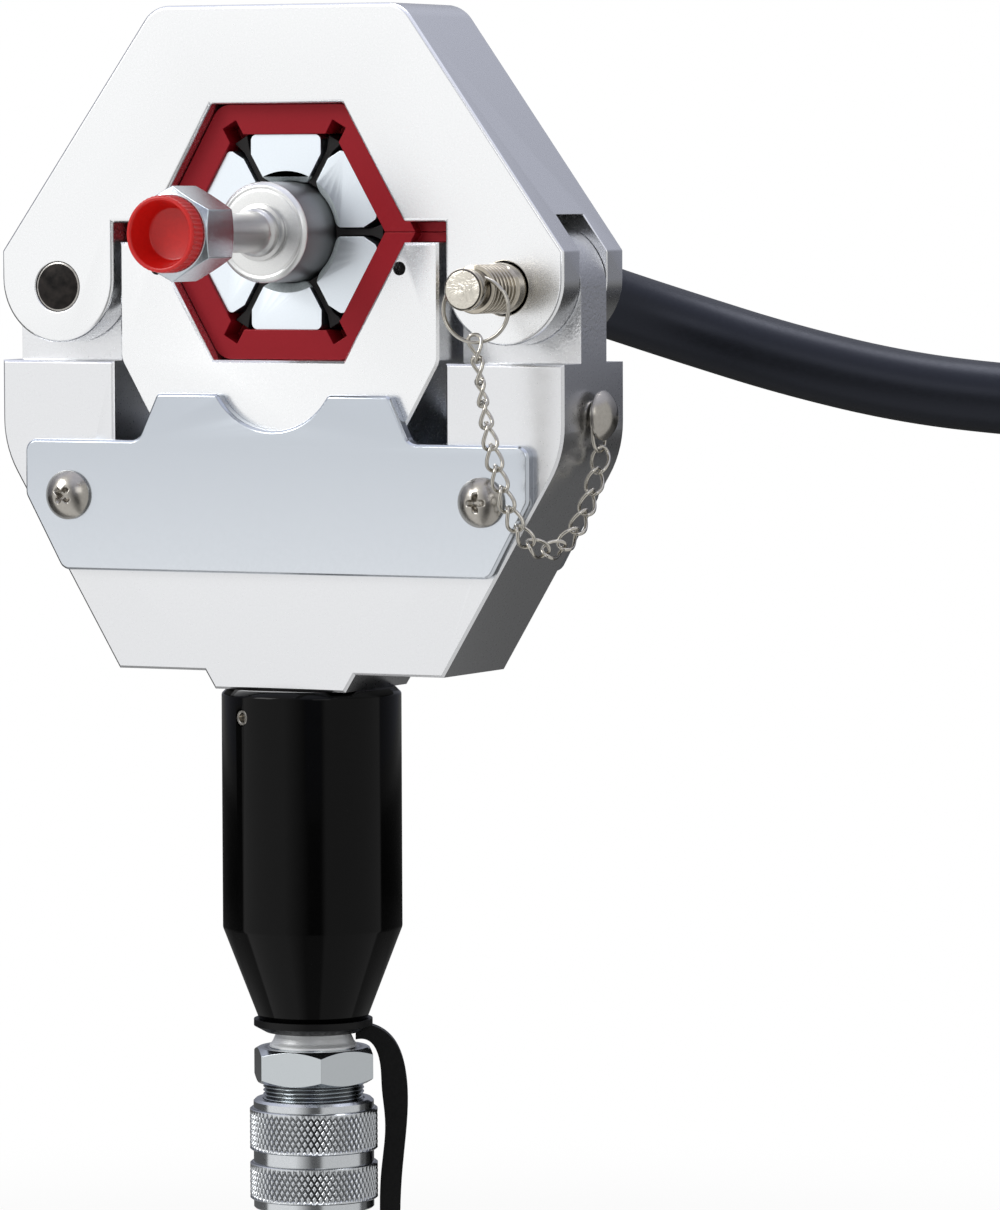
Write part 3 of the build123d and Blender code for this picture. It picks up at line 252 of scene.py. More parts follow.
# Yoke
# The upper half of the head, of the same steel, with a paler colour than the lower frame.
bright_nickel = grained("bright_nickel_plate_on_steel", "#f1f2f3", "#f4f5f6", 1.0, (0.24, 0.28),
                        grain=0.5 * mm, depth=0.0003 * mm)
machined("upper_yoke", bright_nickel, "yoke", edge=0.35 * mm)

# Retaining plates
# Two 3 mm plates of cold-rolled steel, blanked, bevelled and zinc plated with a blue passivation. Their
# colour is a little darker along the top, and the bevels catch a white line.
blue_zinc = grained("blue_zinc_on_rolled_steel", "#d4d9df", "#d7dce2", 1.0, (0.22, 0.24),
                    grain=0.6 * mm, depth=0.0002 * mm)
plate_nodes = blue_zinc.node_tree
surface = shader_of(blue_zinc)
place = add(plate_nodes, "TexCoord")
level = add(plate_nodes, "SeparateXYZ", {0: place.outputs["Object"]})
plate_low, plate_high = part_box("front_plate")
upwards = add(plate_nodes, "MapRange", {0: level.outputs[2], 1: plate_low.z, 2: plate_high.z})
darker = add(plate_nodes, "Mix", {0: upwards.outputs[0], 6: surface.inputs["Base Color"].links[0].from_socket,
                             7: linear("#c0c6ce")}, data_type="RGBA")
plate_nodes.links.new(darker.outputs[2], surface.inputs["Base Color"])
machined("front_plate", blue_zinc, "frame")
machined("rear_plate", blue_zinc, "frame")

# Plate screws and chain screw
# Stainless M6 screws with domed heads, cold-headed and tumbled bright. The driver recess is a cross
# with tapered arms; the side screw's dome is plain, and it is driven home from its shoulder.
recess_arm = 0.9 * mm
recess_reach = 2.7 * mm
head_rim = 0.8 * mm
head_rise = 3.1 * mm


def ramp_up(values, start, end):
    """Smooth step from 0 at start to 1 at end."""
    share = np.clip((values - start) / (end - start), 0, 1)
    return share * share * (3 - 2 * share)


def domed_head(centre, axis, radius, shoulder=0.0, shank=3.0 * mm, tail=11.0 * mm, turn=0.0, depth=1.9 * mm):
    """Grid of a screw: shank, shoulder, rim and a dome that a cross-shaped recess is pressed into."""
    out = np.array(axis, float)
    side = np.cross(out, (0, 0, 1.0))
    upright = np.cross(side, out)
    angle = np.linspace(0, 2 * pi, 144, endpoint=False)
    sphere = (head_rise ** 2 + radius ** 2) / (2 * head_rise)
    body = np.array([(0, -tail), (shank, -tail), (shank, shoulder), (radius - 0.3 * mm, shoulder),
                     (radius, shoulder + 0.3 * mm), (radius, shoulder + head_rim)])
    share = np.linspace(1, 0, 90)[1:]
    dome_radius = radius * share
    dome_height = shoulder + head_rim + head_rise - sphere + np.sqrt(sphere ** 2 - dome_radius ** 2)
    across = np.concatenate([body[:, 0], dome_radius])[:, None]
    height = np.concatenate([body[:, 1], dome_height])[:, None] + 0 * angle
    x, y = across * np.cos(angle + turn), across * np.sin(angle + turn)
    narrow, reach = np.minimum(abs(x), abs(y)), np.maximum(abs(x), abs(y))
    arm = 1 - ramp_up(narrow, recess_arm * 0.3, recess_arm)
    length = 1 - ramp_up(reach, recess_reach * 0.3, recess_reach)
    floor = depth * arm * length
    height[len(body):] -= floor[len(body):]
    x, y = across * np.cos(angle), across * np.sin(angle)
    return (np.array(centre) + x[..., None] * side + y[..., None] * upright + height[..., None] * out)


stainless = grained("tumbled_stainless_steel", "#a6a29b", "#aeaaa3", 1.0, (0.22, 0.26),
                    grain=0.9 * mm, depth=0.0003 * mm)
for screws, way, turn in (("front_plate_screws", -1, 0.2), ("rear_plate_screws", 1, 0.6)):
    low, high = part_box(screws)
    head = (high.z - low.z) / 2
    seat = (low.y if way < 0 else high.y) - way * (head_rim + head_rise)
    heads = []
    for middle_x in (low.x + head, high.x - head):
        turn += 0.7
        heads.append(domed_head((middle_x, seat, low.z + head), (0, way, 0), head, turn=turn))
    shaped(screws + "_domed", heads, stainless, "frame", [screws])
low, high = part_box("chain_screw")
side_head = (high.z - low.z) / 2
side_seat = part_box("lower_frame")[1].x
side_shoulder = 1.8 * mm
shaped("chain_screw_domed",
       [domed_head((side_seat, 0, (low.z + high.z) / 2), (1, 0, 0), side_head, side_shoulder,
                   shank=2.5 * mm, tail=9 * mm, depth=0.0)],
       stainless, "frame", ["chain_screw"])

# Die block
# The block that the ram lifts, of the head's steel. Two socket screws sit at the bottom of their
# holes, and show as dark dots.


def finished(node, finish):
    """Give its finish to a piece that is shown as the solid itself."""
    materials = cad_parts[node].data.materials
    materials.clear()
    materials.append(finish)


machined("die_block", bright_nickel, "ram")
finished("die_block_screws", black_oxide)

# Die carriers
# Half rings of aluminium, milled and dyed red in the anodising bath. The oxide is matte.
red_anodised = grained("red_anodised_aluminium", "#8f0d1b", "#95111f", 0.3, (0.36, 0.42),
                       grain=0.4 * mm, depth=0.001 * mm, **{"Specular IOR Level": 0.3})
machined("upper_die_carrier", red_anodised, "yoke")
machined("lower_die_carrier", red_anodised, "ram")

# Die segments
# Six keystone jaws of tool steel, ground and flash chromed. The ground faces are bright with a cold
# tint, and the bores with their lead-in cones are frosted by blasting.
ground_chrome = grained("flash_chromed_tool_steel", "#e6edf3", "#e9f0f6", 1.0, (0.33, 0.36),
                        grain=0.45 * mm, depth=0.0002 * mm)
frosted_chrome = grained("frosted_bore_of_a_segment", "#c6d0d2", "#dde5e7", 0.4, (0.6, 0.7), grain=0.5 * mm,
                         depth=0.004 * mm)
bore_reach = 14.6 * mm
die_low, die_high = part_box("hose_ferrule")
die_z = (die_low.z + die_high.z) / 2
for half, body, places in (("upper", "yoke", ("left", "top", "right")),
                           ("lower", "ram", ("left", "bottom", "right"))):
    for place in places:
        segment = machined(f"{half}_segment_{place}", ground_chrome, body, edge=0.4 * mm)
        second_finish(segment, frosted_chrome, lambda middle, normal: (
            (np.hypot(middle[:, 0], middle[:, 2] - die_z) < bore_reach) & (abs(normal[:, 1]) < 0.95)))

# Spreaders
# Black nitrile rubber bars, moulded, pressed between the jaws so that they open with the ram.
nitrile = grained("moulded_nitrile_rubber", "#0a0808", "#100c0c", 0.0, (0.5, 0.6),
                  grain=0.5 * mm, depth=0.01 * mm, **{"Specular IOR Level": 0.3})
machined("upper_spreaders", nitrile, "yoke")
machined("lower_spreaders", nitrile, "ram")

# Ram and what seals and guides it
# A hard-chromed piston and rod with nitrile seals, a bronze bush and a wire return spring. All of it
# is inside the barrel.
hard_chrome = grained("hard_chromed_rod", "#c9ccd0", "#dfe1e4", 1.0, (0.08, 0.14),
                      grain=0.3 * mm, depth=0.001 * mm)
bronze = grained("sintered_bronze", "#8a6434", "#b08148", 1.0, (0.35, 0.5),
                 grain=0.3 * mm, depth=0.01 * mm)
spring_wire = grained("oiled_spring_wire", "#4a4c50", "#6d7075", 1.0, (0.25, 0.4),
                      grain=0.6 * mm, depth=0.004 * mm)
for node, finish in (("ram_piston", hard_chrome), ("piston_seal", nitrile), ("rod_seal", nitrile),
                     ("rod_bush", bronze), ("return_spring", spring_wire)):
    finished(node, finish)

# Barrel
# The cylinder, turned from steel and lacquered gloss black. It is smooth enough to show the lights
# as upright bands. A set screw with a bright rim sits in a hole near its top.
barrel_low, barrel_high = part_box("ram_barrel")
barrel_radius = (barrel_high.x - barrel_low.x) / 2
barrel_face = barrel_low.z + 81.5 * mm
cone_start = barrel_face - 57.8 * mm
foot_radius = 13.05 * mm
gloss_black = grained("gloss_black_lacquer", "#020202", "#030303", 0.0, (0.08, 0.1), grain=3 * mm,
                      depth=0.0003 * mm, **{"Specular IOR Level": 0.13})
barrel_profile = eased([
    (0, barrel_low.z), (foot_radius - 1.5 * mm, barrel_low.z),
    (foot_radius, barrel_low.z + 1.5 * mm), (barrel_radius, cone_start),
    (barrel_radius, barrel_face - 1.5 * mm), (barrel_radius - 1.5 * mm, barrel_face),
    (14 * mm, barrel_face), (14 * mm, barrel_high.z), (0, barrel_high.z)], 0.3 * mm)
barrel = shaped("ram_barrel_lacquered", [turned(barrel_profile, (0, 0, 0), sides=160)], gloss_black, "frame",
                ["ram_barrel"])
set_low, set_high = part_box("barrel_set_screw")
set_middle = (set_low + set_high) / 2
set_radius = (set_high.z - set_low.z) / 2
set_socket = 1.2 * mm
set_out = Vector((set_middle.x, set_middle.y, 0)).normalized()
set_mouth = set_out * barrel_radius + Vector((0, 0, set_middle.z))
hole_radius = set_radius + 0.1 * mm
hole = eased([(0, -2.2 * mm), (hole_radius, -2.2 * mm), (hole_radius, 2 * mm), (0, 2 * mm)], 0.05 * mm)
drill = shaped("set_screw_hole", [turned(hole, set_mouth, set_out, 48)], gloss_black, None)
drilled = barrel.modifiers.new("set_screw_hole", "BOOLEAN")
drilled.object = drill
drilled.solver = "EXACT"
bpy.context.view_layer.update()
with_hole = bpy.data.meshes.new_from_object(
    barrel.evaluated_get(bpy.context.evaluated_depsgraph_get()))
barrel.modifiers.clear()
barrel.data = with_hole
bpy.data.objects.remove(drill)
with_hole.shade_smooth()
with_hole.set_sharp_from_angle(angle=radians(35))
set_profile = [(0, -2.6 * mm), (set_radius, -2.6 * mm), (set_radius, -0.45 * mm),
               (set_radius - 0.25 * mm, -0.2 * mm), (set_socket + 0.15 * mm, -0.2 * mm),
               (set_socket, -0.35 * mm), (set_socket, -1.8 * mm), (0, -2.0 * mm)]
shaped("barrel_set_screw_socketed", [turned(set_profile, set_mouth, set_out, 48)], stainless, "frame",
       ["barrel_set_screw"])

# Coupler nipple
# The male half of the screw coupler: a turned neck, a 27 mm hexagon and a fine thread, all zinc
# plated. The flats are satin, the chamfers polished, and shade is painted into the roots of the thread.


def set_stops(ramp_node, stops, tint=(1, 1, 1)):
    """Set a colour ramp to stops of (position, brightness), with a tint over all of them."""
    elements = ramp_node.color_ramp.elements
    while len(elements) < len(stops):
        elements.new(0.5)
    for stop, (position, value) in zip(elements, stops):
        stop.position = position
        stop.color = (value * tint[0], value * tint[1], value * tint[2], 1)


def paint_groove_shade(material, centre, axis, stops):
    """Paint shade into a material's colour by distance from an axis: stops of (radius, share of the colour).
    """
    tree = material.node_tree
    surface = shader_of(material)
    place = add(tree, "TexCoord")
    across = [0.0 if abs(part) else 1.0 for part in axis]
    off = add(tree, "VectorMath", {0: place.outputs["Object"], 1: centre}, operation="SUBTRACT")
    flat = add(tree, "VectorMath", {0: off.outputs[0], 1: across}, operation="MULTIPLY")
    distance = add(tree, "VectorMath", {0: flat.outputs[0]}, operation="LENGTH")
    widest = 20 * mm
    share = add(tree, "MapRange", {0: distance.outputs["Value"], 1: 0.0, 2: widest})
    depth = add(tree, "ValToRGB", {0: share.outputs[0]})
    set_stops(depth, [(radius / widest, value) for radius, value in stops])
    unshaded = surface.inputs["Base Color"].links[0].from_socket
    darker = add(tree, "Mix", {0: 1.0, 6: unshaded, 7: depth.outputs[0]},
                 data_type="RGBA", blend_type="MULTIPLY")
    tree.links.new(darker.outputs[2], surface.inputs["Base Color"])


zinc_steel = grained("clear_zinc_on_turned_steel", "#bcc1c4", "#c6cbce", 1.0, (0.14, 0.2),
                     grain=0.25 * mm, depth=0.0006 * mm, stretch=(1, 1, 4))
# Painted shade: the colour darkens in the band of radii at the roots of the thread.
paint_groove_shade(zinc_steel, (0, 0, 0), (0, 0, 1),
        [(10.8 * mm, 1), (11.2 * mm, 0.2), (11.6 * mm, 0.25), (12.15 * mm, 1)])
hexagon_low = 53.6 * mm
hexagon_high = 62.1 * mm
hexagon_size = 27.0 * mm
hexagon_turn = 4.6  # degrees from +X to its first edge
neck_high = barrel_low.z
thread_radius = 12.25 * mm
thread_pitch = 0.95 * mm
thread_depth = 0.75 * mm
chamfer_slope = tan(radians(30))


def hexagon(size, low, high, turn, lip=0.3 * mm, steps=14, bore=()):
    """Grid of a hexagon whose corners are chamfered by a cone, with a bore of (radius, height) rings."""
    angle = np.linspace(0, 2 * pi, 6 * steps, endpoint=False)
    flat = size / 2 / np.cos(np.mod(angle, pi / 3) - pi / 6)
    ring = size / 2 - lip
    drop = (flat - ring) * chamfer_slope
    level = np.full_like(angle, 1.0)
    bore = bore or ((0.0, low), (0.0, high))
    first, last = bore[0], bore[-1]
    radii = np.stack([first[0] * level, ring * level, flat, flat, ring * level, last[0] * level])
    heights = np.stack([low * level, low * level, low + drop, high - drop, high * level, high * level])
    for radius, height in bore[-2::-1] if last[0] else ():
        radii = np.vstack([radii, radius * level[None]])
        heights = np.vstack([heights, height * level[None]])
    angle = angle + radians(turn)
    return np.stack([radii * np.cos(angle), radii * np.sin(angle), heights], -1)


def threaded(radius, low, high, pitch, depth, sides=120):
    """Grid of a screw thread: radius falls by depth in a V once each pitch, one turn ahead per turn."""
    rows = int(round((high - low) / pitch * 8)) + 1
    height = np.linspace(low, high, rows)[:, None]
    angle = np.linspace(0, 2 * pi, sides, endpoint=False)
    phase = np.mod((height - low) / pitch - angle / (2 * pi), 1)
    radii = radius - depth * (1 - abs(2 * phase - 1))
    grid = np.stack([radii * np.cos(angle), radii * np.sin(angle), height + 0 * angle], -1)
    caps = [np.broadcast_to((0, 0, level), grid[:1].shape) for level in (low, high)]
    return np.vstack([caps[0], grid, caps[1]])


neck = eased([
    (0, hexagon_high - 1 * mm), (10.6 * mm, hexagon_high - 1 * mm), (10.6 * mm, hexagon_high + 0.6 * mm),
    (9.9 * mm, hexagon_high + 1.2 * mm), (9.1 * mm, neck_high - 2.4 * mm), (9.0 * mm, neck_high - 1.7 * mm),
    (8 * mm, neck_high - 1.5 * mm), (8 * mm, neck_high + 9 * mm), (0, neck_high + 9 * mm)], 0.5 * mm)
nose = eased([(0, 35.6 * mm), (6.2 * mm, 35.6 * mm), (7 * mm, 36.4 * mm), (7 * mm, 43 * mm), (0, 43 * mm)],
             0.3 * mm)
nipple = shaped("coupler_nipple_threaded",
                [hexagon(hexagon_size, hexagon_low, hexagon_high, hexagon_turn),
                 turned(neck, (0, 0, 0)),
                 threaded(thread_radius, 42.6 * mm, hexagon_low + 0.3 * mm, thread_pitch, thread_depth),
                 turned(nose, (0, 0, 0))],
                zinc_steel, "frame", ["coupler_nipple"], crease=25)
# The neck is the nipple's own zinc plating in a paler, less metallic copy: a painted highlight.
zinc_painted_lighter = grained("pale_zinc_on_neck", "#e9ebec", "#eff1f2", 0.45, (0.36, 0.42),
                    grain=0.3 * mm, depth=0.0006 * mm)
second_finish(nipple, zinc_painted_lighter, lambda middle, normal: middle[:, 2] > hexagon_high + 0.05 * mm)
broken_edges(nipple, 0.18 * mm, 29)

# Coupler socket
# The female half below, which takes the thread of the pump's hose. Bar steel, turned, milled to a
# hexagon at the foot and zinc plated.
machined("coupler_socket", zinc_steel, "frame")
finished("nipple_poppet", zinc_steel)
finished("socket_poppet", zinc_steel)

# Coupler collar
# The sleeve that is turned by hand. A diamond knurl of 64 starts is rolled into its two bands, which
# fades out at their ends, and its rims and groove are left smooth.
collar_low, collar_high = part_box("coupler_collar")
knurl_radius = (collar_high.x - collar_low.x) / 2
rim_radius = 14.5 * mm
knurl_starts = 64
knurl_depth = 0.5 * mm
knurl_height = 2.5 * mm
knurl_fade = 0.9 * mm
knurl_steps = 8
rolled_zinc = grained("clear_zinc_on_knurled_steel", "#c6cacd", "#d6d9dc", 1.0, (0.14, 0.2),
                      grain=0.3 * mm, depth=0.0006 * mm)
# Painted shade: the colour darkens in the band of radii at the bottom of the knurl's grooves.
paint_groove_shade(rolled_zinc, (0, 0, 0), (0, 0, 1),
        [(14.6 * mm, 1), (14.85 * mm, 0.16), (15.02 * mm, 0.22), (15.34 * mm, 1)])


def knurl(radius, low, high):
    """Rings of a knurled band: two sets of V grooves cross, the deeper of the two counts, and both fade."""
    rows = int(round((high - low) / knurl_height * knurl_steps)) + 1
    height = np.linspace(low, high, rows)[:, None]
    angle = np.linspace(0, 2 * pi, knurl_starts * knurl_steps, endpoint=False)
    climb = np.arange(rows)[:, None] / knurl_steps
    one = abs(2 * np.mod(angle * knurl_starts / (2 * pi) + climb, 1) - 1)
    other = abs(2 * np.mod(angle * knurl_starts / (2 * pi) - climb, 1) - 1)
    fade = ramp_up(np.minimum(height - low, high - height), 0, knurl_fade)
    radii = radius - knurl_depth * fade * np.maximum(one, other) ** 2.4
    return np.stack([radii * np.cos(angle), radii * np.sin(angle), height + 0 * angle], -1)


def rings(profile, count):
    """Plain rings of a turned profile, with as many points round as the knurl has."""
    angle = np.linspace(0, 2 * pi, count, endpoint=False)
    profile = np.asarray(profile, float)
    return np.stack([profile[:, :1] * np.cos(angle), profile[:, :1] * np.sin(angle),
                     profile[:, 1:] + 0 * angle], -1)


around = knurl_starts * knurl_steps
groove_high = collar_high.z - 12.3 * mm
groove_low = groove_high - 3.0 * mm
smooth_rim = 2.2 * mm
bore_radius = 12.3 * mm
edge_radius = knurl_radius - 0.3 * mm
collar_rows = np.vstack([
    rings([(bore_radius, collar_low.z), (rim_radius - 0.3 * mm, collar_low.z),
           (rim_radius, collar_low.z + 0.3 * mm), (rim_radius, collar_low.z + smooth_rim),
           (edge_radius, collar_low.z + smooth_rim + 0.05 * mm)], around),
    knurl(knurl_radius, collar_low.z + smooth_rim + 0.3 * mm, groove_low - 0.3 * mm),
    rings([(edge_radius, groove_low - 0.05 * mm), (rim_radius, groove_low), (rim_radius, groove_high),
           (edge_radius, groove_high + 0.05 * mm)], around),
    knurl(knurl_radius, groove_high + 0.3 * mm, collar_high.z - smooth_rim - 0.3 * mm),
    rings([(edge_radius, collar_high.z - smooth_rim - 0.05 * mm), (rim_radius, collar_high.z - smooth_rim),
           (rim_radius, collar_high.z - 0.6 * mm), (rim_radius - 0.6 * mm, collar_high.z),
           (bore_radius, collar_high.z), (bore_radius, collar_low.z)], around)])
shaped("coupler_collar_knurled", [collar_rows], rolled_zinc, "collar",
       ["coupler_collar"], crease=30)

# Dust cap and its strap
# Both moulded in black rubber. The strap's ring is nipped under the barrel, and the strap hangs down
# beside the coupler to the cap.
moulded_rubber = grained("moulded_black_rubber", "#060606", "#090909", 0.0, (0.38, 0.48), grain=0.8 * mm,
                         depth=0.008 * mm, **{"Specular IOR Level": 0.2})
machined("dust_cap_strap", moulded_rubber, "frame", edge=0.35 * mm)
machined("dust_cap", moulded_rubber, "frame", edge=0.4 * mm)

# Pull pin
# A 12 mm pin, turned, with a neck for the key ring and seven grip rings, nickel plated. Its face
# keeps the swirl of the lathe tool and has a lighter colour that is painted light, and shade is
# painted between its rings.
pin_low, pin_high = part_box("locking_pin")
pin_x = (pin_low.x + pin_high.x) / 2
pin_z = (pin_low.z + pin_high.z) / 2
warm_nickel = grained("nickel_plate_on_turned_pin", "#ada699", "#bab3a6", 1.0, (0.1, 0.14),
                      grain=0.7 * mm, depth=0.001 * mm)
# The face is the pin's own nickel plating: its swirl and roughness are its own, its lighter colour is painted
# light.
swirled_nickel_painted_lighter = grained("swirled_face_with_painted_light", "#cfcabf", "#dbd6cb", 1.0, (0.26, 0.34),
                         grain=0.7 * mm, depth=0.001 * mm)
swirl = swirled_nickel_painted_lighter.node_tree
surface = shader_of(swirled_nickel_painted_lighter)
place = add(swirl, "TexCoord")
swirl_size = 6 * mm
swirl_lines = 60.0
curl = add(swirl, "TexNoise", {"Vector": place.outputs["Object"], "Scale": 1 / swirl_size, "Detail": 1.0,
                               "Distortion": 2.5})
lines = add(swirl, "Math", {0: curl.outputs[0], 1: swirl_lines}, operation="MULTIPLY")
lines = add(swirl, "Math", {0: lines.outputs[0]}, operation="SINE")
cut = add(swirl, "Bump", {"Height": lines.outputs[0], "Strength": 0.5, "Distance": 0.03 * mm})
swirl.links.new(cut.outputs[0], surface.inputs["Normal"])
face_radius = 4.4 * mm
ring_reach = 5.75 * mm
groove_reach = 4.55 * mm
ring_spacing = 1.8 * mm
neck_end = pin_low.y + 4.9 * mm
# Painted shade: the colour darkens at and inside the radius of the grooves between the grip rings.
paint_groove_shade(warm_nickel, (pin_x, 0, pin_z), (0, 1, 0),
        [(4.5 * mm, 0.1), (4.66 * mm, 0.12), (4.72 * mm, 1), (6 * mm, 1)])
pin_profile = [(0, pin_low.y), (face_radius, pin_low.y), (4.95 * mm, pin_low.y + 0.5 * mm),
               (4.95 * mm, pin_low.y + 2.3 * mm), (4.75 * mm, pin_low.y + 2.5 * mm), (4.75 * mm, neck_end)]
for number in range(7):
    start = neck_end + number * ring_spacing
    pin_profile += [(groove_reach, start + 0.2 * mm), (groove_reach, start + 0.8 * mm),
                    (ring_reach - 0.25 * mm, start + 0.95 * mm), (ring_reach, start + 1.15 * mm),
                    (ring_reach, start + 1.45 * mm), (ring_reach - 0.25 * mm, start + 1.65 * mm)]
pin_profile += [(6 * mm, pin_low.y + 18.0 * mm), (6 * mm, pin_high.y - 0.8 * mm), (5.2 * mm, pin_high.y),
                (0, pin_high.y)]
pull_pin = shaped("locking_pin_ringed",
                  [turned(eased(pin_profile, 0.12 * mm), (pin_x, 0, pin_z), (0, 1, 0))],
                  warm_nickel, "locking_pin", ["locking_pin"])
second_finish(pull_pin, swirled_nickel_painted_lighter, lambda middle, normal: middle[:, 1] < pin_low.y + 0.02 * mm)

# Key ring, chain and its end ring
# Nickel-plated steel wire. The key ring is two turns of spring wire through the neck of the pin, and
# the chain is of twisted oval links that hang from it to the ring on the side screw.
nickel_wire = grained("nickel_plated_wire", "#b7b3aa", "#c1bdb4", 1.0, (0.05, 0.08), grain=0.5 * mm,
                      depth=0.0005 * mm)


def wire_along(path, radius, sides=12, closed=True):
    """Grid of a round wire: a circle carried along the path, square to it and without twist."""
    path = np.asarray(path, float)
    if closed:
        ahead = np.roll(path, -1, 0) - np.roll(path, 1, 0)
    else:
        ahead = np.gradient(path, axis=0)
    ahead /= np.linalg.norm(ahead, axis=1, keepdims=True)
    mean = np.cross(path - path.mean(0), ahead).mean(0)
    mean /= np.linalg.norm(mean)
    first = np.cross(ahead, mean)
    first /= np.linalg.norm(first, axis=1, keepdims=True)
    second = np.cross(ahead, first)
    angle = np.linspace(0, 2 * pi, sides, endpoint=False)[:, None]
    grid = (path[:, None] + radius * (first[:, None] * np.cos(angle) + second[:, None] * np.sin(angle)))
    if closed:
        return np.vstack([grid, grid[:1]])
    ends = [np.broadcast_to(path[i], grid[:1].shape) for i in (0, -1)]
    return np.vstack([ends[0], grid, ends[1]])


ring_low, ring_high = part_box("pin_ring")
ring_centre = (ring_low + ring_high) / 2
ring_radius = (ring_high.x - ring_low.x) / 2 - 0.1 * mm
ring_turn = radians(14)
ring_shift = 1.3 * mm
turns = np.linspace(0, 2 * 2 * pi, 144)
out = ring_shift + ring_radius * np.cos(turns + 0.6)
coil = np.stack([ring_centre.x + out * np.cos(ring_turn),
                 ring_centre.y + out * np.sin(ring_turn) + 0.4 * mm * (turns / (2 * pi) - 1),
                 ring_centre.z - 0.1 * mm + ring_radius * np.sin(turns + 0.6)], -1)
shaped("pin_ring_coiled", [wire_along(coil, 0.42 * mm, closed=False)], nickel_wire, "locking_pin",
       ["pin_ring"])
end_low, end_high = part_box("chain_end_ring")
end_centre = (end_low + end_high) / 2
end_wire = 0.45 * mm
end_bend = (end_high.y - end_low.y) / 2 - end_wire
end_straight = (end_high.z - end_low.z) / 2 - end_wire - end_bend
turns = np.linspace(0, 2 * pi, 64, endpoint=False)
end_rise = end_bend * np.sin(turns) + end_straight * np.sign(np.sin(turns))
end_top_gap = 0.55 * mm
end_foot_gap = 1.5 * mm
end_lean = (end_top_gap - end_foot_gap) / (end_high.z - end_low.z)
end_out = side_seat + 1.03 * mm
oblong = np.stack([end_out + end_lean * end_rise, end_centre.y + end_bend * np.cos(turns),
                   end_centre.z + end_rise], -1)
shaped("chain_end_ring_bent", [wire_along(oblong, end_wire)], nickel_wire, "frame",
       ["chain_end_ring"])

chain_wire = 0.47 * mm
link_half_width = 2.0 * mm
link_pitch = 5.3 * mm
link_twist = radians(52)
chain_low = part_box("tether_chain")[0].z + 1.6 * mm
chain_start = np.array((ring_centre.x + ring_shift, ring_centre.y + 0.2 * mm, ring_low.z - 1.35 * mm))
chain_end = np.array((side_seat + 1.6 * mm, end_centre.y, end_low.z - 1.55 * mm))
plan = (chain_end - chain_start) * (1, 1, 0)
plan_length = np.linalg.norm(plan)
plan /= plan_length
drops = np.array((chain_start[2], chain_end[2])) - chain_low


def hanging(size):
    """Level reach of a catenary on both sides of its lowest point: size times acosh(1 + drop / size)."""
    return size * np.arccosh(1 + drops / size)


sizes = np.geomspace(0.2 * mm, 200 * mm, 20000)
reaches = np.array([hanging(size).sum() for size in sizes])
chain_size = np.interp(plan_length, reaches, sizes)
arc_start, arc_end = chain_size * np.sinh(hanging(chain_size) / chain_size)
link_count = 2 * round((arc_start + arc_end) / link_pitch / 2) + 1
link_step = (arc_start + arc_end) / (link_count - 1)


def twisted_link(number):
    """Wire of one link: an oval along the chain whose ends are turned half a twist each way."""
    along = number * link_step - arc_start
    slope = along / chain_size
    spot = chain_start + plan * (chain_size * np.arcsinh(slope) + hanging(chain_size)[0])
    spot[2] = chain_low + chain_size * (np.sqrt(1 + slope ** 2) - 1)
    forward = plan + np.array((0, 0, slope))
    forward /= np.linalg.norm(forward)
    across = np.cross(forward, np.cross(plan, (0, 0, 1.0)))
    face = np.cross(forward, across)
    round_ = np.linspace(0, 2 * pi, 40, endpoint=False)
    half = (link_step + 0.3 * mm) / 2 + chain_wire
    reach = half * np.sign(np.cos(round_)) * abs(np.cos(round_)) ** 0.8
    side = link_half_width * np.sign(np.sin(round_)) * abs(np.sin(round_)) ** 0.8
    lean = (-radians(80) * np.clip(1 - number / 5, 0, 1)
            - radians(40) * np.clip(1 - (link_count - 1 - number) / 2, 0, 1))
    turn = (link_twist * reach / half + lean)[:, None]
    return spot + reach[:, None] * forward + side[:, None] * (np.cos(turn) * across + np.sin(turn) * face)


links = [wire_along(twisted_link(number), chain_wire, sides=10) for number in range(link_count)]
chain = shaped("tether_chain_twisted", links, nickel_wire, None, ["tether_chain"], crease=60)
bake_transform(chain)

# Ferrule and stem of the work
# A hose end held in the dies: a shell and a barbed stem, both turned from aluminium. Their faces are
# a soft, even white silver; the shell's side is rougher, and its darker grey is painted shade.
ferrule_low, ferrule_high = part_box("hose_ferrule")
work_z = (ferrule_low.z + ferrule_high.z) / 2
shell_radius = (ferrule_high.z - ferrule_low.z) / 2
blasted_aluminium = grained("blasted_aluminium", "#dedfde", "#e6e6e5", 1.0, (0.3, 0.34), grain=0.25 * mm,
                            depth=0.001 * mm)
shell = eased([(4.7 * mm, ferrule_low.y), (9.9 * mm, ferrule_low.y), (10.3 * mm, ferrule_low.y + 0.25 * mm),
               (10.7 * mm, ferrule_low.y), (shell_radius - 0.9 * mm, ferrule_low.y),
               (shell_radius, ferrule_low.y + 0.9 * mm), (shell_radius, ferrule_high.y - 0.5 * mm),
               (shell_radius - 0.5 * mm, ferrule_high.y), (8.95 * mm, ferrule_high.y),
               (8.95 * mm, ferrule_low.y + 2.4 * mm), (4.7 * mm, ferrule_low.y + 2.4 * mm),
               (4.7 * mm, ferrule_low.y)], 0.25 * mm)
ferrule = shaped("hose_ferrule_turned", [turned(shell, (0, 0, work_z), (0, 1, 0), 128)], blasted_aluminium,
                 "workpiece", ["hose_ferrule"])
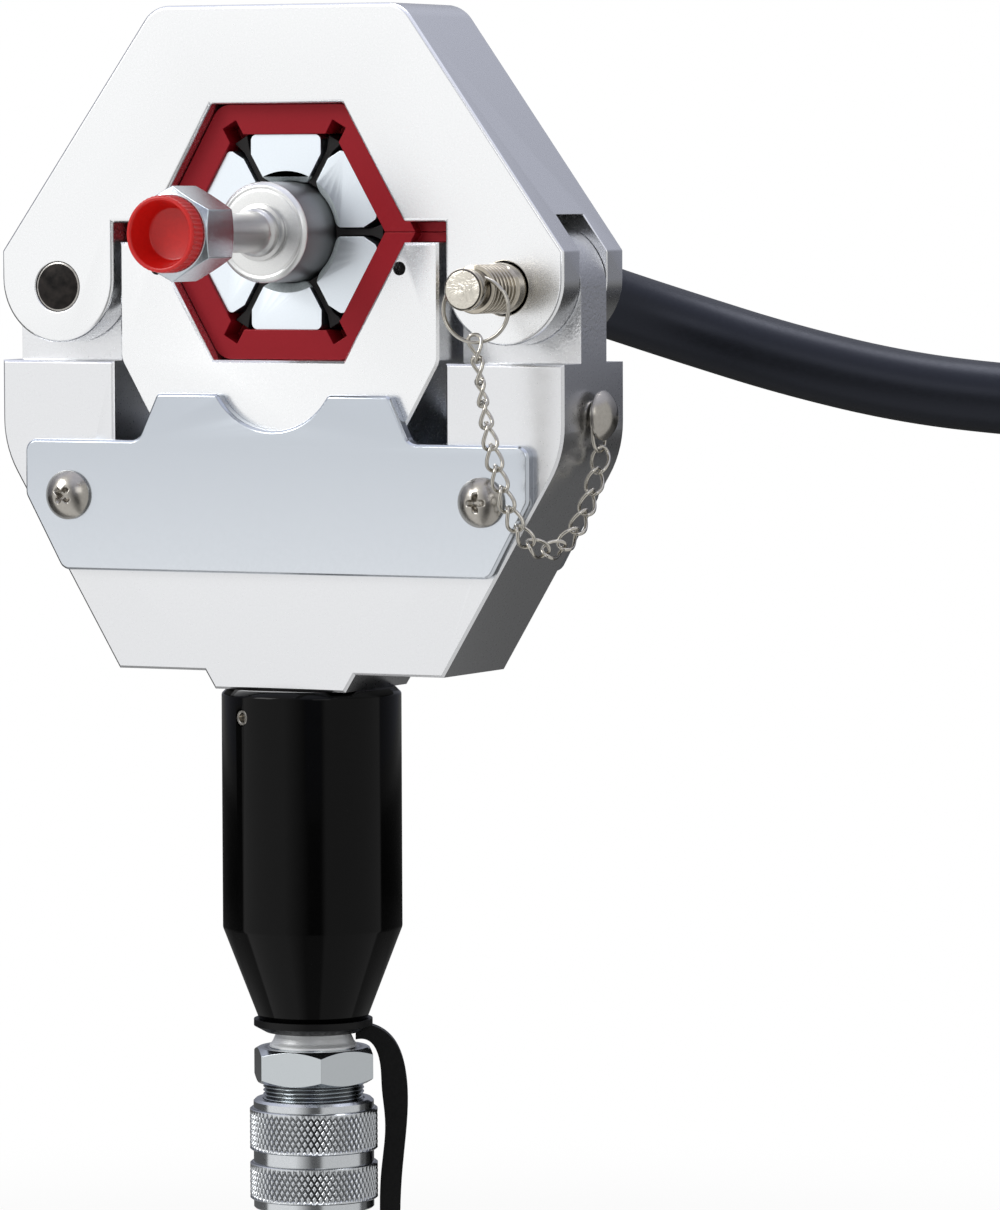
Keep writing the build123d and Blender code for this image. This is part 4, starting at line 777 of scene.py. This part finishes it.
# The shell's side is the same aluminium, a little rougher, in a darker copy: painted shade.
aluminium_side_painted_shade = grained("aluminium_side_painted_shade", "#98999b", "#a0a1a3", 1.0, (0.46, 0.52), grain=0.25 * mm,
                         depth=0.001 * mm)
second_finish(ferrule, aluminium_side_painted_shade, lambda middle, normal: middle[:, 1] > ferrule_low.y + 1.1 * mm)
satin_aluminium = grained("satin_aluminium", "#c4c4c3", "#cccccb", 1.0, (0.28, 0.32), grain=0.25 * mm,
                          depth=0.001 * mm)
stem_low, stem_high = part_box("hose_stem")
step = 1.6 * mm
face = ferrule_low.y
stem_profile = eased([
    (3.2 * mm, stem_high.y), (4.7 * mm, stem_high.y), (4.7 * mm, face + 0.1 * mm),
    (6.8 * mm, face + 0.05 * mm), (6.8 * mm, face - step), (5.75 * mm, face - step - 0.1 * mm),
    (5.75 * mm, face - 2 * step), (4.9 * mm, face - 2.5 * step), (4.7 * mm, face - 3.2 * step),
    (4.7 * mm, stem_low.y + 2.1 * mm), (6.5 * mm, stem_low.y + 2.0 * mm),
    (4.2 * mm, stem_low.y), (3.2 * mm, stem_low.y), (3.2 * mm, stem_high.y)], 0.3 * mm)
shaped("hose_stem_turned", [turned(stem_profile, (0, 0, work_z), (0, 1, 0), 96)], satin_aluminium,
       "workpiece", ["hose_stem"])

# Swivel nut and its plug
# A zinc-plated hexagon nut that turns on the stem, with a red polyethylene plug in its mouth. The
# plug's rim is ribbed for the fingers and its face is dished and bare.
nut_zinc = grained("zinc_on_milled_nut", "#b9c0c6", "#c6ccd2", 1.0, (0.17, 0.24), grain=0.6 * mm,
                   depth=0.0015 * mm)
nut_low, nut_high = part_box("swivel_nut")
nut_size = 19.3 * mm
nut_bore = ((7.75 * mm, nut_low.y), (7.7 * mm, nut_high.y - 3.0 * mm), (4.75 * mm, nut_high.y - 3.0 * mm),
            (4.75 * mm, nut_high.y))
nut_grid = hexagon(nut_size, nut_low.y, nut_high.y, 30, lip=0.4 * mm, bore=nut_bore)
nut_grid = np.stack([nut_grid[..., 0], nut_grid[..., 2], work_z + nut_grid[..., 1]], -1)
nut = shaped("swivel_nut_milled", [nut_grid], nut_zinc, "swivel_nut", ["swivel_nut"], crease=25)
broken_edges(nut, 0.3 * mm, 25)

red_plastic = grained("red_polyethylene", "#c8140f", "#d01a15", 0.0, (0.3, 0.36), grain=0.8 * mm,
                      depth=0.002 * mm, **{
                          "Subsurface Weight": 0.15, "Subsurface Radius": (0.001, 0.0004, 0.0003),
                          "Subsurface Scale": 1.0})
plug_low, plug_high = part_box("nut_plug")
plug_radius = 9.0 * mm
rib_count = 48
rib_steps = 8
angle = np.linspace(0, 2 * pi, rib_count * rib_steps, endpoint=False)
rib = 0.42 * mm * np.clip(1.6 * abs(np.sin(angle * rib_count / 2)) - 0.3, 0, 1)
mouth = plug_low.y
rib_end = nut_low.y
cup_floor = mouth + 6.5 * mm
plug_rows = [(0, cup_floor, 0), (5.7 * mm, cup_floor, 0), (6.1 * mm, mouth + 6.35 * mm, 0),
             (6.3 * mm, mouth + 6.0 * mm, 0), (7.65 * mm, mouth + 0.6 * mm, 0),
             (7.8 * mm, mouth + 0.2 * mm, 0), (8.05 * mm, mouth, 0), (8.45 * mm, mouth, 0),
             (plug_radius - 0.25 * mm, mouth + 0.2 * mm, 0),
             (plug_radius - 0.08 * mm, mouth + 0.55 * mm, 0.2), (plug_radius, mouth + 1.0 * mm, 1),
             (plug_radius, mouth + 2.4 * mm, 1), (plug_radius, rib_end - 0.6 * mm, 1),
             (plug_radius - 0.1 * mm, rib_end - 0.2 * mm, 0.4), (plug_radius - 0.3 * mm, rib_end, 0),
             (7.6 * mm, rib_end, 0), (7.6 * mm, plug_high.y, 0), (0, plug_high.y, 0)]
plug_rows = np.array(plug_rows)
radii = plug_rows[:, :1] - plug_rows[:, 2:] * rib
plug_grid = np.stack([radii * np.cos(angle), plug_rows[:, 1:2] + 0 * radii,
                      work_z + radii * np.sin(angle)], -1)
shaped("nut_plug_ribbed", [plug_grid], red_plastic, "nut_plug", ["nut_plug"], crease=40)

# Hose
# The free end of the hose that is being crimped: 17.8 mm black rubber over braid, stiff, so it bends
# in one long curve. It leaves the ferrule, swings to the right and ends in a square cut.
hose_radius = 8.9 * mm
hose_bore = 5.3 * mm
hose_route = [(0, 8.0, 258.0), (0, 32, 258.0), (5.3, 55.3, 255.0), (15.6, 76.6, 248.6), (30.2, 95, 240.8),
              (48.5, 109.2, 233.2), (72.4, 118.6, 225.1), (97.6, 130.4, 218.3), (122, 142.2, 214.8),
              (144, 152, 213.0)]
route = bpy.data.curves.new("hose_route", "CURVE")
route.dimensions = "3D"
line = route.splines.new("NURBS")
line.points.add(len(hose_route) - 1)
for point, place in zip(line.points, hose_route):
    point.co = (*(Vector(place) * mm), 1)
line.order_u = 3
line.use_endpoint_u = True
line.resolution_u = 12
holder = bpy.data.objects.new("hose_route", route)
bpy.context.scene.collection.objects.link(holder)
bpy.context.view_layer.update()
followed = bpy.data.meshes.new_from_object(holder)
centreline = np.array([v.co for v in followed.vertices])
bpy.data.objects.remove(holder)
bpy.data.meshes.remove(followed)


def tube_rings(path, radii, sides=64):
    """Rings round a path with a radius for each point, each turned as little as it can be."""
    ahead = np.gradient(path, axis=0)
    ahead /= np.linalg.norm(ahead, axis=1, keepdims=True)
    up = np.array((0.0, 0.0, 1.0)) - ahead * ahead[:, 2:]
    up /= np.linalg.norm(up, axis=1, keepdims=True)
    side = np.cross(ahead, up)
    angle = np.linspace(0, 2 * pi, sides, endpoint=False)[:, None]
    ring = side[:, None] * np.cos(angle) + up[:, None] * np.sin(angle)
    return path[:, None] + np.asarray(radii)[:, None, None] * ring


outer = tube_rings(centreline, np.full(len(centreline), hose_radius))
inner = tube_rings(centreline, np.full(len(centreline), hose_bore))
end_middle = outer[-1].mean(0)
lip = end_middle + (outer[-1] - end_middle) * (1 - 0.3 * mm / hose_radius)
blind = 14
hose_grid = np.vstack([np.broadcast_to(centreline[0], outer[:1].shape), outer, lip[None], inner[-1:],
                       inner[-2:-blind:-1], np.broadcast_to(centreline[-blind], outer[:1].shape)])
hose_rubber = grained("extruded_hose_rubber", "#0f1013", "#121418", 0.0, (0.34, 0.4), grain=1.2 * mm,
                      depth=0.004 * mm, **{"Specular IOR Level": 0.42, "Specular Tint": linear("#dfe6ff")})
hose = shaped("workpiece_hose_free", [hose_grid], hose_rubber, "workpiece",
              ["workpiece_hose"], crease=50)
finished("hose_end", hose_rubber)

# Studio
# A pale floor and background. What the metal reflects is a ring of soft panels: white in front and to
# the left, a dark gap where the camera stands, a dimmer panel to the right and dark drapes behind,
# which grow lighter upwards. They are painted by direction and only reflections see them.
scene = bpy.context.scene
scene.view_settings.view_transform = "Standard"


def panels(tree, place):
    """Brightness of the panels towards a place by its compass angle, and that place split into its parts."""
    way = add(tree, "SeparateXYZ", {0: place})
    compass = add(tree, "Math", {0: way.outputs[1], 1: way.outputs[0]}, operation="ARCTAN2")
    share = add(tree, "MapRange", {0: compass.outputs[0], 1: -pi, 2: pi})
    ring = add(tree, "ValToRGB", {0: share.outputs[0]})
    set_stops(ring, [(0.048, 0.0), (0.056, 1.0), (0.227, 1.0), (0.318, 0.1), (0.357, 0.1), (0.376, 0.74),
                     (0.594, 0.74), (0.602, 0.0)])
    return ring.outputs[0], way


world = bpy.data.worlds.new("pale_studio")
scene.world = world
world.use_nodes = True
sky = world.node_tree
sky.nodes.clear()
ray = add(sky, "LightPath")
direction = add(sky, "TexCoord")
front, way = panels(sky, direction.outputs["Generated"])
drape = add(sky, "ValToRGB", {0: way.outputs[2]})
set_stops(drape, [(0.0, 0.22), (0.2, 0.27), (0.42, 0.42), (0.7, 0.8), (1.0, 1.0)], tint=(0.95, 0.98, 1.14))
around_all = add(sky, "Mix", {6: front, 7: drape.outputs[0], 0: 1.0},
                 data_type="RGBA", blend_type="LIGHTEN")
mirrored = add(sky, "Background", {"Color": around_all.outputs[2], "Strength": 1.0})
white = add(sky, "Background", {"Color": linear("#ffffff"), "Strength": 1.0})
plain = add(sky, "Background", {"Color": linear("#ffffff"), "Strength": 0.45})
either = add(sky, "MixShader",
             {0: ray.outputs["Is Glossy Ray"], 1: plain.outputs[0], 2: mirrored.outputs[0]})
seen = add(sky, "Math", {0: ray.outputs["Is Camera Ray"], 1: ray.outputs["Is Transmission Ray"]},
           operation="MAXIMUM")
shown = add(sky, "MixShader", {0: seen.outputs[0], 1: either.outputs[0], 2: white.outputs[0]})
add(sky, "OutputWorld", {0: shown.outputs[0]})

floor_level = -0.0195
floor_mesh = bpy.data.meshes.new("floor")
reach = 6.0
floor_mesh.from_pydata([(-reach, -reach, floor_level), (reach, -reach, floor_level),
                        (reach, reach, floor_level), (-reach, reach, floor_level)], [], [(0, 1, 2, 3)])
floor = bpy.data.objects.new("floor", floor_mesh)
scene.collection.objects.link(floor)
paper = bpy.data.materials.new("white_paper")
paper.use_nodes = True
sheet = paper.node_tree
sheet.nodes.clear()
ray = add(sheet, "LightPath")
spot = add(sheet, "TexCoord")
front, way = panels(sheet, spot.outputs["Object"])
distance = add(sheet, "VectorMath", {0: spot.outputs["Object"]}, operation="LENGTH")
far = add(sheet, "MapRange", {0: distance.outputs["Value"], 1: 0.0, 2: 4.0})
# Painted reflection: glossy rays see the floor as the panels by direction, over a painted dark that is
# deepest about a metre from the middle.
dark = add(sheet, "ValToRGB", {0: far.outputs[0]})
set_stops(dark, [(0.0, 0.4), (0.045, 0.3), (0.075, 0.12), (0.14, 0.11), (0.25, 0.03), (0.55, 0.06),
                 (0.8, 0.21)])
around_all = add(sheet, "Mix", {6: front, 7: dark.outputs[0], 0: 1.0},
                 data_type="RGBA", blend_type="LIGHTEN")
mirrored = add(sheet, "Emission", {"Color": around_all.outputs[2], "Strength": 1.0})
clear = add(sheet, "MapRange", {0: distance.outputs["Value"], 1: 0.1, 2: 0.45, 3: 0.6, 4: 1.0},
            interpolation_type="SMOOTHSTEP")
matte = add(sheet, "BsdfDiffuse", {"Color": linear("#f4f4f4")})
glow = add(sheet, "Emission", {"Color": linear("#ffffff"), "Strength": 1.0})
paper_seen = add(sheet, "MixShader", {0: clear.outputs[0], 1: matte.outputs[0], 2: glow.outputs[0]})
seen = add(sheet, "Math", {0: ray.outputs["Is Camera Ray"], 1: ray.outputs["Is Transmission Ray"]},
           operation="MAXIMUM")
either = add(sheet, "MixShader",
             {0: ray.outputs["Is Glossy Ray"], 1: matte.outputs[0], 2: mirrored.outputs[0]})
shown = add(sheet, "MixShader", {0: seen.outputs[0], 1: either.outputs[0], 2: paper_seen.outputs[0]})
add(sheet, "OutputMaterial", {0: shown.outputs[0]})
floor_mesh.materials.append(paper)

head_centre = Vector((0, 0, 0.2))


def soft_light(name, place, size, power):
    """Square area light that faces the middle of the head."""
    lamp = bpy.data.lights.new(name, "AREA")
    lamp.size = size
    lamp.energy = power
    holder = bpy.data.objects.new(name, lamp)
    holder.location = place
    holder.rotation_mode = "QUATERNION"
    holder.rotation_quaternion = (head_centre - Vector(place)).to_track_quat("-Z", "Y")
    scene.collection.objects.link(holder)


soft_light("key_light", (-1.1, -1.2, 1.3), 0.9, 16)
soft_light("fill_light", (1.3, -1.5, 0.9), 0.8, 3)
soft_light("top_light", (0.1, 0.4, 1.6), 0.7, 6)

# Camera
# It stands 1.67 m away at the height of the dies, to the right of the head and turned to face it,
# with a long lens.
camera_place = (0.779617, -1.472588, 0.2696)
camera_yaw = 0.4597
camera_pitch = -0.0607
camera_roll = -0.0037
focal_pixels = 6954.98
photo_height = 1210
sensor = 36.0
ahead = Vector((-sin(camera_yaw) * cos(camera_pitch), cos(camera_yaw) * cos(camera_pitch), sin(camera_pitch)))
level_right = Vector((cos(camera_yaw), sin(camera_yaw), 0))
level_up = level_right.cross(ahead)
right = cos(camera_roll) * level_right + sin(camera_roll) * level_up
up = -sin(camera_roll) * level_right + cos(camera_roll) * level_up
lens = bpy.data.cameras.new("camera")
lens.sensor_width = sensor
lens.lens = focal_pixels / photo_height * sensor
lens.clip_start = 0.05
lens.clip_end = 50
camera = bpy.data.objects.new("camera", lens)
camera.matrix_world = Matrix.Translation(camera_place) @ Matrix((right, up, -ahead)).transposed().to_4x4()
scene.collection.objects.link(camera)
scene.camera = camera
